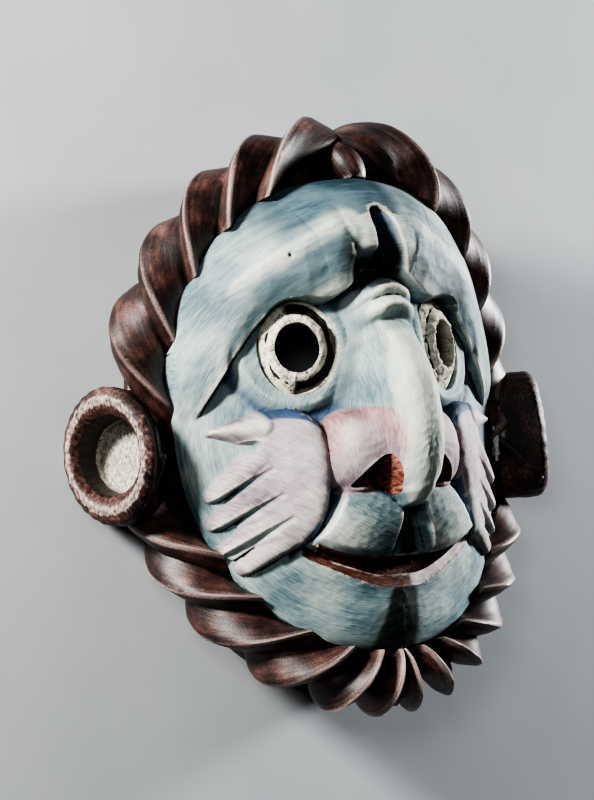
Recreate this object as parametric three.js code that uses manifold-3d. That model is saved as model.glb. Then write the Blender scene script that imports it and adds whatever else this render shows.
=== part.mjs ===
// A carved and painted wooden spirit mask, lying on its back rim.
// Millimetres. X runs across the face, Y from chin to forehead, Z out of the face; Z = 0 is the back rim.
// One block holds the face, the hands on the cheeks and the twisted wreath. The two ears are set on.
import * as THREE from "three";
import { mergeVertices } from "three/addons/utils/BufferGeometryUtils.js";
import Module from "manifold-3d";

const wasm = await Module();
wasm.setup();

// Driving dimensions of the face plate
const PLATE_HALF_WIDTH = 113;
const PLATE_EXTRA_WIDTH_ABOVE = 3.5;
const PLATE_HALF_HEIGHT = 143;
const PLATE_EDGE_HEIGHT = 38.8;
const PLATE_EDGE_RISE = 36;
const CHEEK_ROUNDNESS = 1.8;

// Eyes, pierced and turned outwards
const EYE_X = 53;
const EYE_Y = 39.4;
const EYE_SURFACE_Z = 84.5;
const EYE_HALF_WIDTH = 24;
const EYE_HALF_HEIGHT = 28.8;
const EYE_OUTWARD_TURN = THREE.MathUtils.degToRad(31);
const EYE_SOCKET_DEPTH = 9;
const EYE_BULGE = 12;
const EYE_SIDES = 24;
const PUPIL_HALF_WIDTH = 13.4;
const PUPIL_HALF_HEIGHT = 15.1;

// Wreath of twisted strands round the face
const WREATH_HALF_WIDTH = 121;
const WREATH_HALF_HEIGHT = 156;
const WREATH_SIDE_Z = 12;
const WREATH_RISE_TOP = 56;
const WREATH_RISE_CHIN = 48;
const WREATH_CORE_RADIUS = 16;
const STRAND_OFFSET = 11;
const STRAND_HALF_THICKNESS = 17.5;
const STRAND_RUN = 74;
// Width along the wreath of each strand, from the forehead to the ear and from the ear to the chin
const RIGHT_STRANDS = { above: [29, 36, 38, 44, 46], ear: 71, below: [34, 35, 38, 35, 28, 17] };
const LEFT_STRANDS = { above: [45, 46, 41, 45, 50], ear: 50, below: [33, 32, 34, 29, 26, 20] };

// Plain wall behind the wreath, and the hollow for the wearer's face
const WALL_OUTSIDE_WREATH = 7;
const HOLLOW_HALF_WIDTH = 107;
const HOLLOW_TOP = 144;
const HOLLOW_CHIN = 137;
const NOSE_HOLLOW = 20;

// Ears
const EAR_X = 159.5;
const EAR_Y = -13;
const EAR_Z = 31;
const EAR_TURN = THREE.MathUtils.degToRad(61);
const EAR_LEAN = THREE.MathUtils.degToRad(-4);
const EAR_CUP_DEPTH = 26;
const EAR_SEAT_DEPTH = 34.5;
const SEAM = 0.4;

const clamp = (v, low, high) => Math.min(Math.max(v, low), high);
const bell = (v, width) => Math.exp(-((v / width) ** 2));
const mix = (a, b, share) => a + (b - a) * share;

function smooth(from, to, v) {
  const t = clamp((v - from) / (to - from), 0, 1);
  return t * t * (3 - 2 * t);
}

// A smooth curve through [place, value] pairs
function curve(points) {
  const last = points.length - 1;
  const slope = points.map((p, i) => {
    const a = points[Math.max(i - 1, 0)];
    const b = points[Math.min(i + 1, last)];
    return (b[1] - a[1]) / (b[0] - a[0]);
  });
  return (place) => {
    const x = clamp(place, points[0][0], points[last][0]);
    let i = 0;
    while (i < last - 1 && x >= points[i + 1][0]) i++;
    const width = points[i + 1][0] - points[i][0];
    const t = (x - points[i][0]) / width;
    const s = t * t * (3 - 2 * t);
    const rise = (t ** 3 - 2 * t * t + t) * width * slope[i];
    const fall = (t ** 3 - t * t) * width * slope[i + 1];
    return points[i][1] * (1 - s) + points[i + 1][1] * s + rise + fall;
  };
}

// The carved relief of the front
const plateHalfWidth = (y) => PLATE_HALF_WIDTH + PLATE_EXTRA_WIDTH_ABOVE * smooth(-10, 50, y);
const platePower = (y) => 2.15 + 0.3 * smooth(-20, 30, y);

function plateEdgeX(y) {
  const power = platePower(y);
  const share = Math.abs(clamp(y / PLATE_HALF_HEIGHT, -1, 1)) ** power;
  return plateHalfWidth(y) * Math.max(1 - share, 1e-6) ** (1 / power);
}

function plateEdgeZ(y) {
  const share = y / PLATE_HALF_HEIGHT;
  return PLATE_EDGE_HEIGHT + PLATE_EDGE_RISE * Math.abs(share) ** 2.2 + 3 * share;
}

const midline = curve([
  [-143, 79], [-129, 84.5], [-112, 87], [-90, 93.5], [-60, 97], [-20, 97],
  [20, 96], [60, 98], [95, 105], [119, 104.5], [131, 97], [143, 84],
]);

function cheekSurface(x, y) {
  const out = clamp(Math.abs(x) / Math.max(plateEdgeX(y), 1), 0, 1.05);
  return midline(y) - (midline(y) - plateEdgeZ(y)) * out ** CHEEK_ROUNDNESS;
}

const lineThrough = (points) => new THREE.SplineCurve(points.map(([x, y]) => new THREE.Vector2(x, y))).getPoints(32);
const browLine = lineThrough([
  [12, 80], [20, 73], [34, 65], [50, 66.5], [61, 64], [72, 54], [85, 36], [96, 18], [105, 2],
]);
const foreheadRidge = lineThrough([[14, 112], [26, 111], [56, 97], [81, 82], [97, 66]]);
const browHeight = curve([[0, 11], [0.25, 10.5], [0.5, 9.5], [0.75, 8], [0.92, 5.5], [1, 0]]);
const browWidth = curve([[0, 24], [0.4, 26], [0.75, 20], [1, 10]]);
const socketDepth = curve([[0, 2], [0.2, 6], [0.4, 8], [0.6, 8], [0.8, 5.5], [0.93, 3], [1, 0]]);

// Signed distance to a line, positive on its left, and the share of its length
function nearLine(line, x, y) {
  let best = Infinity;
  let side = 1;
  let share = 0;
  for (let i = 0; i < line.length - 1; i++) {
    const a = line[i];
    const vx = line[i + 1].x - a.x;
    const vy = line[i + 1].y - a.y;
    const t = clamp(((x - a.x) * vx + (y - a.y) * vy) / (vx * vx + vy * vy), 0, 1);
    const ex = x - a.x - t * vx;
    const ey = y - a.y - t * vy;
    const d = Math.hypot(ex, ey);
    if (d < best) {
      best = d;
      side = vx * ey - vy * ex >= 0 ? 1 : -1;
      share = (i + t) / (line.length - 1);
    }
  }
  return [best * side, share];
}

function addBrow(x, y, z) {
  const [above, share] = nearLine(browLine, Math.abs(x), y);
  const step = smooth(-1, 2.2, above);
  const crest = 13;
  const fall = above > crest ? bell(above - crest, browWidth(share)) : 1;
  const crown = above > 0 && above < crest ? 1 - 0.2 * ((above - crest) / crest) ** 2 : 1;
  const socket = socketDepth(share) * (1 - step) * (above < 0 ? bell(above, 17) : 1);
  return z + browHeight(share) * step * fall * crown - socket;
}

// A sharp ridge runs over each brow, from the frown down to the temple
function addForeheadRidge(x, y, z) {
  const [above, share] = nearLine(foreheadRidge, Math.abs(x), y);
  const reach = above > 0 ? 8 : 15;
  return z + 3.4 * Math.exp(-Math.abs(above) / reach) * smooth(0, 0.15, share) * smooth(1, 0.75, share);
}

const frownWidth = curve([[60, 18], [72, 26], [90, 25], [105, 19], [116, 10], [121, 4]]);
const frownDepth = curve([[60, 0], [70, 8], [82, 15], [103, 15], [113, 12], [118, 8], [121, 0]]);

// The frown is a wide cleft with a narrow tongue of wood left standing in it
function cutFrown(x, y, z) {
  const inside = clamp(1 - Math.abs(x + 1) / frownWidth(y), 0, 1);
  const tongue = 8 * clamp((x + 16) / 11, 0, 1) * smooth(-1.5, -5, x);
  return z - frownDepth(y) * smooth(0, 0.7, inside) + tongue * smooth(82, 90, y) * smooth(121, 114, y);
}

const eyePlane = (across) => EYE_SURFACE_Z - 0.6 * (across - EYE_X);

function shapeLids(x, y, z) {
  const across = Math.abs(x);
  const dx = (across - EYE_X) / EYE_HALF_WIDTH;
  const dy = (y - EYE_Y) / EYE_HALF_HEIGHT;
  const r = Math.hypot(dx, dy);
  const angle = THREE.MathUtils.radToDeg(Math.atan2(dy, dx));
  const nearEye = smooth(1.55, 1, r) * smooth(1.3, -0.2, dy) * 0.85;
  const lower = smooth(40, -10, angle) * smooth(-140, -100, angle);
  const lid = 1.6 * bell(r - 1.17, 0.11) - 3.2 * bell(r - 1.45, 0.13) * smooth(35, -20, angle);
  return z + (eyePlane(across) - 2 - z) * nearEye + lid * lower;
}

const noseRidge = curve([
  [-61.5, 101], [-60.4, 112], [-57, 121], [-50, 128.5], [-37, 135], [-20, 139], [-2, 138.5],
  [15, 136], [28, 130], [36, 125.5], [43, 120], [49, 113], [52, 111.8], [56, 117], [60, 119.5],
  [63.5, 115], [65.5, 112.5], [68, 115], [71, 115.5], [74.5, 110], [80, 99],
]);
const noseHalfWidth = curve([
  [-62, 7], [-56, 10], [-50, 17], [-44, 30], [-20, 37], [0, 36], [20, 32], [35, 27], [48, 24],
  [60, 26], [70, 25], [80, 20],
]);
const beakSection = curve([[0, 1], [0.14, 0.985], [0.28, 0.9], [0.42, 0.7], [0.6, 0.38], [0.8, 0.12], [1, 0]]);
const tipSection = curve([[0, 1], [0.35, 0.96], [0.6, 0.84], [0.85, 0.5], [1, 0]]);
const bridgeSection = curve([[0, 1], [0.3, 0.93], [0.6, 0.66], [0.85, 0.25], [1, 0]]);

function noseSurface(x, y, z) {
  if (y < -61.5 || y > 84) return z;
  const out = clamp(Math.abs(x) / noseHalfWidth(y), 0, 1);
  // the two folds over the bridge arch downwards on both sides
  const ridge = noseRidge(y + 0.018 * x * x * smooth(30, 50, y));
  let section = mix(beakSection(out), tipSection(out), smooth(-44, -54, y));
  section = mix(section, bridgeSection(out), smooth(34, 46, y));
  return z + Math.max(ridge - z, 0) * section;
}

const wingTop = curve([[10, 121], [20, 118], [30, 113.5], [40, 108.5], [47, 104]]);

function addNostrilWing(x, y, z) {
  const across = Math.abs(x) - 30;
  const along = y + 25.5;
  const qx = across * Math.cos(0.12) + along * Math.sin(0.12);
  const qy = along * Math.cos(0.12) - across * Math.sin(0.12);
  const r = (Math.abs(qx / 16.5) ** 2.5 + Math.abs(qy / 24) ** 2.5) ** 0.4;
  if (r >= 1) return z;
  const top = wingTop(Math.abs(x)) - 0.1 * Math.max(-along, 0) - 0.004 * along * along;
  return Math.max(z, z + (top - z) * Math.sqrt(1 - r ** 3));
}

// Fingers of the right hand: start, end, radius at the start and at the end
const KNUCKLES = [
  [[-78, -25], [-100.5, -43], 8.2, 4.3],
  [[-74, -41], [-99.5, -59.5], 8.2, 4.6],
  [[-70, -56.5], [-95.5, -76], 7.8, 4.6],
  [[-65, -71], [-87.5, -86], 7.6, 4.2],
];
// Gaps between the fingers: start and end
const GAPS = [
  [[-77, -32.5], [-104, -50.5]],
  [[-72, -47.5], [-102, -66]],
  [[-68, -61.5], [-98, -80.5]],
];
const handHeight = curve([[-24.5, 6.5], [-10, 9], [4, 12], [13, 14.5], [19, 15], [24.5, 14]]);

// How far out of a tapered finger a point is, 1 at its side, and the share of its length
function finger(x, y, from, to, startRadius, endRadius) {
  const vx = to[0] - from[0];
  const vy = to[1] - from[1];
  const t = clamp(((x - from[0]) * vx + (y - from[1]) * vy) / (vx * vx + vy * vy), 0, 1);
  const d = Math.hypot(x - from[0] - t * vx, y - from[1] - t * vy);
  return [d / mix(startRadius, endRadius, t), t];
}

function handRise(x, y) {
  const across = -Math.abs(x) + 67.5;
  const along = y + 38;
  const qx = across * Math.cos(0.087) - along * Math.sin(0.087);
  const qy = along * Math.cos(0.087) + across * Math.sin(0.087);
  const power = 2.25 + 0.25 * smooth(-10, 10, qy);
  const r = (Math.abs(qx / 24.5) ** power + Math.abs(qy / 42.5) ** power) ** (1 / power);
  let rise = handHeight(qx) * Math.sqrt(Math.max(1 - clamp(r, 0, 1) ** 4.5, 0));
  const [thumb, thumbShare] = finger(-Math.abs(x), y, [-76, -6.5], [-99.5, -5.2], 10.8, 2.6);
  rise = Math.max(rise, (10 - 3.8 * thumbShare) * Math.sqrt(1 - clamp(thumb, 0, 1) ** 2));
  for (const [from, to, start, end] of KNUCKLES) {
    const [q, t] = finger(-Math.abs(x), y, from, to, start, end);
    rise = Math.max(rise, (9.5 - 2.6 * t) * Math.sqrt(1 - clamp(q, 0, 1) ** 2.6));
  }
  const [web] = finger(-Math.abs(x), y, [-81, -17], [-101, -19.5], 1, 7);
  return Math.max(rise - 9 * Math.max(1 - web * web, 0) ** 0.6, 0);
}

const upperLipEdge = curve([[0, -89.5], [22, -89], [36, -86.5], [47, -82.5], [57, -77]]);
const lowerLipTop = curve([[0, -98], [16, -97], [33, -91], [47, -84.5], [57, -78]]);
const lowerLipEdge = curve([[0, -106.5], [14, -105.5], [32, -98.5], [46, -91], [57, -84.5], [63, -80]]);
const lipSide = curve([[-92, 64], [-77, 58.5], [-69, 52], [-58, 45], [-47, 38.5], [-42, 36]]);
const lipCrest = curve([[-92, 92], [-88, 96], [-80, 101], [-68, 105], [-56, 104], [-47, 100]]);

function shapeLips(x, y, z) {
  const across = Math.abs(x);
  const inside = lipSide(y) - across;
  let out = z;
  if (y > upperLipEdge(across) && inside > -1) {
    const groove = 5.5 * bell(across, 10) * smooth(-95, -84, y);
    const pad = lipCrest(y) - 0.0085 * Math.max(across - 16, 0) ** 2 - groove;
    const roll = 0.45 + 0.55 * smooth(0, 5.5, y - upperLipEdge(across));
    out += Math.max(pad - z, 0) * smooth(-0.3, 3.2, inside) * smooth(-44, -50, y) * roll;
  }
  out -= 3 * bell(inside + 2.6, 2.2) * smooth(-40, -50, y) * smooth(-90, -78, y);
  const top = lowerLipTop(across);
  const down = (top - y) / Math.max(top - lowerLipEdge(across), 0.5);
  if (down > 0 && down < 1) out += (4 * down - 4.5) * smooth(64, 54, across);
  return out;
}

function frontSurface(x, y) {
  const cheek = cheekSurface(x, y);
  let z = cheek + 2 * bell(x, 30) * bell(y + 118, 12);
  z = addForeheadRidge(x, y, addBrow(x, y, z));
  z = cutFrown(x, y, z);
  z = shapeLids(x, y, z);
  z = Math.max(shapeLips(x, y, z), noseSurface(x, y, z) > z + 0.01 ? noseSurface(x, y, z) : -Infinity);
  z = addNostrilWing(x, y, z);
  const rise = handRise(x, y);
  return rise > 0.02 ? Math.max(z, cheek + rise) : z;
}

// Solids, and booleans between them
function solid(geometry) {
  const bare = geometry.clone();
  for (const name of Object.keys(bare.attributes)) {
    if (name !== "position") bare.deleteAttribute(name);
  }
  const merged = mergeVertices(bare, 1e-4);
  return new wasm.Manifold(
    new wasm.Mesh({
      numProp: 3,
      vertProperties: new Float32Array(merged.attributes.position.array),
      triVerts: new Uint32Array(merged.index.array),
    }),
  );
}

function geometryFrom(points, faces) {
  const geometry = new THREE.BufferGeometry();
  geometry.setAttribute("position", new THREE.Float32BufferAttribute(points.flat(), 3));
  geometry.setIndex(faces.flat());
  return geometry;
}

function geometryOf(made) {
  const mesh = made.getMesh();
  const geometry = new THREE.BufferGeometry();
  const place = new Float32Array(mesh.numVert * 3);
  for (let i = 0; i < mesh.numVert; i++) {
    place.set(mesh.vertProperties.subarray(i * mesh.numProp, i * mesh.numProp + 3), i * 3);
  }
  geometry.setAttribute("position", new THREE.BufferAttribute(place, 3));
  geometry.setIndex(new THREE.BufferAttribute(new Uint32Array(mesh.triVerts), 1));
  geometry.computeVertexNormals();
  return geometry;
}

const join = (parts) => parts.reduce((a, b) => a.add(b));
const largest = (made) => made.decompose().reduce((a, b) => (a.volume() > b.volume() ? a : b));

const distance = (a, b) => Math.hypot(a[0] - b[0], a[1] - b[1], a[2] - b[2]);
const between = (a, b) => a.map((value, c) => (value + b[c]) / 2);
const middleOf = (loop) => [0, 1, 2].map((c) => loop.reduce((sum, p) => sum + p[c], 0) / loop.length);

// A closed skin over loops of points, facing outwards when the loops run anticlockwise seen from the
// last one. Each four-sided patch is folded along the diagonal that stands further out.
function loft(loops) {
  const size = loops[0].length;
  const points = loops.flat();
  const faces = [];
  for (let k = 0; k < loops.length - 1; k++) {
    const inside = between(middleOf(loops[k]), middleOf(loops[k + 1]));
    for (let i = 0; i < size; i++) {
      const a = k * size + i;
      const b = k * size + ((i + 1) % size);
      const c = b + size;
      const d = a + size;
      const first = distance(between(points[a], points[c]), inside);
      const second = distance(between(points[b], points[d]), inside);
      if (first >= second) faces.push([a, b, c], [a, c, d]);
      else faces.push([a, b, d], [b, c, d]);
    }
  }
  points.push(middleOf(loops[0]), middleOf(loops[loops.length - 1]));
  const top = (loops.length - 1) * size;
  for (let i = 0; i < size; i++) {
    const next = (i + 1) % size;
    faces.push([points.length - 2, next, i], [points.length - 1, top + i, top + next]);
  }
  return geometryFrom(points, faces);
}

// The plate's front as triangles that are small only where the carving turns
const GRID = 128;
const PLATE_TOLERANCE = 1.6;
const EDGE_TOLERANCE = 1.6;
const SMALL_FORM = 10;

function platePoint(u, v) {
  // the square is drawn into a disc, and each row of the disc out to the plate's edge
  const a = u * Math.sqrt(1 - (v * v) / 2);
  const b = v * Math.sqrt(1 - (u * u) / 2);
  const y = b * PLATE_HALF_HEIGHT;
  const x = (a / Math.sqrt(Math.max(1 - b * b, 1e-9))) * plateEdgeX(y);
  return [x, y, frontSurface(x, y)];
}

function plateGeometry(bottom) {
  const size = GRID + 1;
  const place = [];
  for (let j = 0; j < size; j++) {
    for (let i = 0; i < size; i++) place.push(platePoint((2 * i) / GRID - 1, (2 * j) / GRID - 1));
  }
  const onEdge = (i, j) => i === 0 || j === 0 || i === GRID || j === GRID;
  const error = new Float32Array(size * size);
  const bend = (ax, ay, bx, by, mx, my) => {
    const a = place[ay * size + ax];
    const b = place[by * size + bx];
    const m = place[my * size + mx];
    const flat = Math.hypot(m[0] - (a[0] + b[0]) / 2, m[1] - (a[1] + b[1]) / 2);
    // a fault on a short side shows less
    const shown = Math.min(Math.hypot(a[0] - b[0], a[1] - b[1]) / SMALL_FORM, 1);
    const high = Math.abs(m[2] - (a[2] + b[2]) / 2) * shown;
    if (onEdge(mx, my)) return (Math.max(flat, high) * PLATE_TOLERANCE) / EDGE_TOLERANCE;
    return Math.hypot(high, 0.12 * flat);
  };
  // triangles of a grid halved again and again, each as its long side's ends and its right corner
  const levels = [[[0, 0, GRID, GRID, GRID, 0], [GRID, GRID, 0, 0, 0, GRID]]];
  const halvings = 2 * Math.log2(GRID) - 1;
  const halve = ([ax, ay, bx, by, cx, cy]) => {
    const mx = (ax + bx) >> 1;
    const my = (ay + by) >> 1;
    return [[cx, cy, ax, ay, mx, my], [bx, by, cx, cy, mx, my]];
  };
  for (let k = 0; k < halvings; k++) levels.push(levels[k].flatMap(halve));
  // a triangle's error, kept at the middle of its long side, covers all that lie inside it
  for (const level of levels.reverse()) {
    for (const triangle of level) {
      const [ax, ay, bx, by] = triangle;
      const at = ((ay + by) >> 1) * size + ((ax + bx) >> 1);
      const inner = halve(triangle).map(([px, py, qx, qy]) => {
        const whole = (px + qx) % 2 === 0 && (py + qy) % 2 === 0;
        return whole ? error[((py + qy) >> 1) * size + ((px + qx) >> 1)] : 0;
      });
      error[at] = Math.max(error[at], ...inner, bend(ax, ay, bx, by, (ax + bx) >> 1, (ay + by) >> 1));
    }
  }
  const used = new Map();
  const points = [];
  const faces = [];
  const vertex = (i, j) => {
    const key = j * size + i;
    if (!used.has(key)) {
      used.set(key, points.length);
      points.push(place[key]);
    }
    return used.get(key);
  };
  const emit = (ax, ay, bx, by, cx, cy) => {
    const mx = (ax + bx) >> 1;
    const my = (ay + by) >> 1;
    if (Math.abs(ax - cx) + Math.abs(ay - cy) > 1 && error[my * size + mx] > PLATE_TOLERANCE) {
      emit(cx, cy, ax, ay, mx, my);
      emit(bx, by, cx, cy, mx, my);
    } else {
      faces.push([vertex(ax, ay), vertex(cx, cy), vertex(bx, by)]);
    }
  };
  emit(0, 0, GRID, GRID, GRID, 0);
  emit(GRID, GRID, 0, 0, 0, GRID);
  // the side wall goes straight back from the plate's edge
  const rim = [];
  for (let i = 0; i < GRID; i++) rim.push([i, 0]);
  for (let j = 0; j < GRID; j++) rim.push([GRID, j]);
  for (let i = GRID; i > 0; i--) rim.push([i, GRID]);
  for (let j = GRID; j > 0; j--) rim.push([0, j]);
  const loop = rim.filter(([i, j]) => used.has(j * size + i)).map(([i, j]) => used.get(j * size + i));
  const below = points.length;
  for (const at of loop) points.push([points[at][0] * 0.985, points[at][1] * 0.985, bottom]);
  points.push([0, 0, bottom]);
  const centre = points.length - 1;
  for (let k = 0; k < loop.length; k++) {
    const next = (k + 1) % loop.length;
    faces.push([loop[k], below + k, below + next], [loop[k], below + next, loop[next]]);
    faces.push([centre, below + next, below + k]);
  }
  return geometryFrom(points, faces);
}

// The wreath's centre line, from the forehead (angle 90 degrees) round one side to the chin (-90)
function wreathPoint(angle, side) {
  const s = Math.sin(angle);
  const rise = (s > 0 ? WREATH_RISE_TOP : WREATH_RISE_CHIN) * s * s;
  const x = side * (WREATH_HALF_WIDTH + 4 * s) * Math.cos(angle);
  return new THREE.Vector3(x, (WREATH_HALF_HEIGHT + 1.5 * s) * s, WREATH_SIDE_Z + rise);
}

const WREATH_STEPS = 180;
function wreathTable(side) {
  const rows = [];
  let length = 0;
  for (let k = 0; k <= WREATH_STEPS; k++) {
    const point = wreathPoint(Math.PI / 2 - (Math.PI * k) / WREATH_STEPS, side);
    if (k) length += point.distanceTo(rows[k - 1].point);
    rows.push({ point, length });
  }
  return rows;
}

// Centre, outward and forward directions at a length along the wreath
function wreathFrame(rows, length) {
  const last = rows.length - 1;
  const along = clamp(length, 0, rows[last].length);
  let k = 0;
  while (k < last - 1 && rows[k + 1].length < along) k++;
  const t = (along - rows[k].length) / (rows[k + 1].length - rows[k].length);
  const centre = rows[k].point.clone().lerp(rows[k + 1].point, t);
  const tangent = rows[k + 1].point.clone().sub(rows[k].point).normalize();
  centre.addScaledVector(tangent, length - along);
  const forward = new THREE.Vector3(0, 0, 1).addScaledVector(tangent, -tangent.z).normalize();
  const outward = new THREE.Vector3(centre.x, centre.y, 0);
  outward.addScaledVector(tangent, -outward.dot(tangent)).addScaledVector(forward, -outward.dot(forward));
  return { centre, forward, outward: outward.normalize() };
}

// One strand: fat where it comes over the outside, winding forwards and in to a pointed tail
const STRAND_SECTIONS = 7;
const STRAND_SIDES = 7;
const STRAND_FIRST_TURN = THREE.MathUtils.degToRad(-62);
const STRAND_LAST_TURN = THREE.MathUtils.degToRad(178);
const strandSwell = curve([[0, 0.45], [0.1, 0.8], [0.25, 1], [0.5, 1], [0.65, 0.92], [0.8, 0.72], [0.92, 0.46], [1, 0.15]]);

function strand(rows, start, width) {
  const total = rows[rows.length - 1].length;
  const run = STRAND_RUN * smooth(total + 30, total - 120, start);
  const turnAt = (t) => mix(STRAND_FIRST_TURN, STRAND_LAST_TURN, t);
  const outer = THREE.MathUtils.degToRad(12);
  const at = (t) => {
    const turn = turnAt(t);
    const along = start + (run * (turn - outer)) / (STRAND_LAST_TURN - outer);
    const frame = wreathFrame(rows, Math.min(along, total - 1 + 0.05 * (along - total)));
    const radial = frame.outward.clone().multiplyScalar(Math.cos(turn));
    radial.addScaledVector(frame.forward, Math.sin(turn));
    const inset = mix(1, 0.62, smooth(0.72, 1, t));
    return { radial, centre: frame.centre.clone().addScaledVector(radial, STRAND_OFFSET * inset) };
  };
  const loops = [];
  for (let k = 0; k <= STRAND_SECTIONS; k++) {
    const t = k / STRAND_SECTIONS;
    const here = at(t);
    const tangent = at(Math.min(t + 0.02, 1)).centre.sub(at(Math.max(t - 0.02, 0)).centre).normalize();
    const wide = new THREE.Vector3().crossVectors(here.radial, tangent).normalize();
    const high = new THREE.Vector3().crossVectors(tangent, wide).normalize();
    const swell = strandSwell(t);
    const halfWidth = (width * 0.31 + 2.2) * swell;
    const halfHeight = STRAND_HALF_THICKNESS * swell * (0.95 + 0.0015 * width);
    const loop = [];
    for (let i = 0; i < STRAND_SIDES; i++) {
      const a = (2 * Math.PI * (i + 0.5)) / STRAND_SIDES;
      const p = here.centre.clone();
      p.addScaledVector(wide, halfWidth * Math.cos(a)).addScaledVector(high, halfHeight * Math.sin(a));
      loop.push(p.toArray());
    }
    loops.push(loop);
  }
  return solid(loft(loops));
}

function wreathStrands(side, widths) {
  const rows = wreathTable(side);
  const strands = [];
  let length = 0;
  for (const width of widths.above) {
    strands.push(strand(rows, length + width / 2, width));
    length += width;
  }
  length += widths.ear;
  for (const width of widths.below) {
    strands.push(strand(rows, length + width / 2, width));
    length += width;
  }
  return strands;
}

const CORE_STEPS = 44;
const CORE_SIDES = 9;
function wreathCore() {
  const radius = WREATH_CORE_RADIUS;
  const points = [];
  const faces = [];
  for (let k = 0; k < CORE_STEPS; k++) {
    const round = (2 * Math.PI * k) / CORE_STEPS;
    const side = Math.cos(round) >= 0 ? 1 : -1;
    const centre = wreathPoint(Math.asin(Math.sin(round)), side);
    const outward = new THREE.Vector3(centre.x / WREATH_HALF_WIDTH ** 2, centre.y / WREATH_HALF_HEIGHT ** 2, 0);
    outward.normalize();
    for (let i = 0; i < CORE_SIDES; i++) {
      const a = (2 * Math.PI * i) / CORE_SIDES;
      const p = centre.clone().addScaledVector(outward, radius * Math.cos(a));
      points.push([p.x, p.y, p.z + radius * Math.sin(a)]);
      const next = (i + 1) % CORE_SIDES;
      const far = ((k + 1) % CORE_STEPS) * CORE_SIDES;
      faces.push([k * CORE_SIDES + i, far + i, far + next], [k * CORE_SIDES + i, far + next, k * CORE_SIDES + next]);
    }
  }
  return solid(geometryFrom(points, faces));
}

// The plain wall behind the wreath, and the wood that joins the wreath's core to the plate's edge
const WALL_STEPS = 56;
function backWall() {
  const loops = [[], [], [], []];
  for (let k = 0; k < WALL_STEPS; k++) {
    const round = (2 * Math.PI * k) / WALL_STEPS;
    const side = Math.cos(round) >= 0 ? 1 : -1;
    const centre = wreathPoint(Math.asin(Math.sin(round)), side);
    const reach = 1 + WALL_OUTSIDE_WREATH / Math.hypot(centre.x, centre.y);
    const edgeY = PLATE_HALF_HEIGHT * 0.97 * Math.sin(round);
    const edgeX = side * plateEdgeX(edgeY) * 0.97;
    loops[0].push([centre.x * reach, centre.y * reach, 0]);
    loops[1].push([centre.x * (reach - 0.01), centre.y * (reach - 0.01), centre.z]);
    loops[2].push([centre.x * 0.99, centre.y * 0.99, centre.z + WREATH_CORE_RADIUS - 3]);
    loops[3].push([edgeX, edgeY, plateEdgeZ(edgeY) - 2]);
  }
  return solid(loft(loops));
}

// What the wearer's face goes into
const HOLLOW_STEPS = 32;
const HOLLOW_RINGS = 6;
const hollowHeight = curve([[-137, 60], [-97, 65], [-55, 80], [0, 83], [60, 82], [100, 79], [144, 68]]);

function hollow() {
  const points = [[0, 0, hollowHeight(0) + NOSE_HOLLOW]];
  const faces = [];
  for (let ring = 1; ring <= HOLLOW_RINGS + 1; ring++) {
    const r = Math.sin((Math.PI / 2) * Math.min(ring / HOLLOW_RINGS, 1));
    for (let k = 0; k < HOLLOW_STEPS; k++) {
      const a = (2 * Math.PI * k) / HOLLOW_STEPS;
      const reach = r * (Math.abs(Math.cos(a)) ** 2.3 + Math.abs(Math.sin(a)) ** 2.3) ** (-1 / 2.3);
      const x = reach * HOLLOW_HALF_WIDTH * Math.cos(a);
      const y = reach * (a < Math.PI ? HOLLOW_TOP : HOLLOW_CHIN) * Math.sin(a);
      const across = Math.abs(x / HOLLOW_HALF_WIDTH) ** 2.2;
      const up = Math.abs(y / (y > 0 ? HOLLOW_TOP : HOLLOW_CHIN)) ** 3.6;
      const dome = hollowHeight(y) * Math.max(1 - across - up, 0) ** 0.45;
      const nose = NOSE_HOLLOW * bell(x, 15) * smooth(-50, -30, y) * smooth(45, 15, y);
      points.push([x, y, ring > HOLLOW_RINGS ? -5 : Math.max(dome + nose, 2 * (1 - r))]);
    }
  }
  const row = (ring, k) => 1 + (ring - 1) * HOLLOW_STEPS + (k % HOLLOW_STEPS);
  for (let k = 0; k < HOLLOW_STEPS; k++) {
    faces.push([0, row(1, k), row(1, k + 1)]);
    for (let ring = 1; ring <= HOLLOW_RINGS; ring++) {
      faces.push([row(ring, k), row(ring + 1, k), row(ring + 1, k + 1)]);
      faces.push([row(ring, k), row(ring + 1, k + 1), row(ring, k + 1)]);
    }
    faces.push([points.length, row(HOLLOW_RINGS + 1, k + 1), row(HOLLOW_RINGS + 1, k)]);
  }
  points.push([0, 0, -5]);
  return solid(geometryFrom(points, faces));
}

// A place on the eye's own axis: across, up and out of the eye
function eyeTransform(side) {
  const turn = new THREE.Matrix4().makeRotationY(side * EYE_OUTWARD_TURN);
  return turn.setPosition(side * EYE_X, EYE_Y, EYE_SURFACE_Z);
}

function eyeCylinder(side, halfWidth, halfHeight, from, to, sides) {
  const geometry = new THREE.CylinderGeometry(1, 1, to - from, sides);
  geometry.rotateX(Math.PI / 2).translate(0, 0, (from + to) / 2).scale(halfWidth, halfHeight, 1);
  return solid(geometry.applyMatrix4(eyeTransform(side)));
}

function eyeBall(side) {
  const profile = [new THREE.Vector2(0, -1.5), new THREE.Vector2(1, -1.5)];
  for (let k = 0; k <= 4; k++) {
    const a = (Math.PI / 2) * (k / 4);
    profile.push(new THREE.Vector2(Math.cos(a) ** 0.9, EYE_BULGE * Math.sin(a) ** 0.9));
  }
  profile[profile.length - 1].x = 0;
  const geometry = new THREE.LatheGeometry(profile, EYE_SIDES);
  geometry.rotateX(Math.PI / 2).scale(EYE_HALF_WIDTH + 0.3, EYE_HALF_HEIGHT + 0.3, 1);
  geometry.translate(0, 0, 0.5 - EYE_SOCKET_DEPTH);
  return solid(geometry.applyMatrix4(eyeTransform(side)));
}

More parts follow.
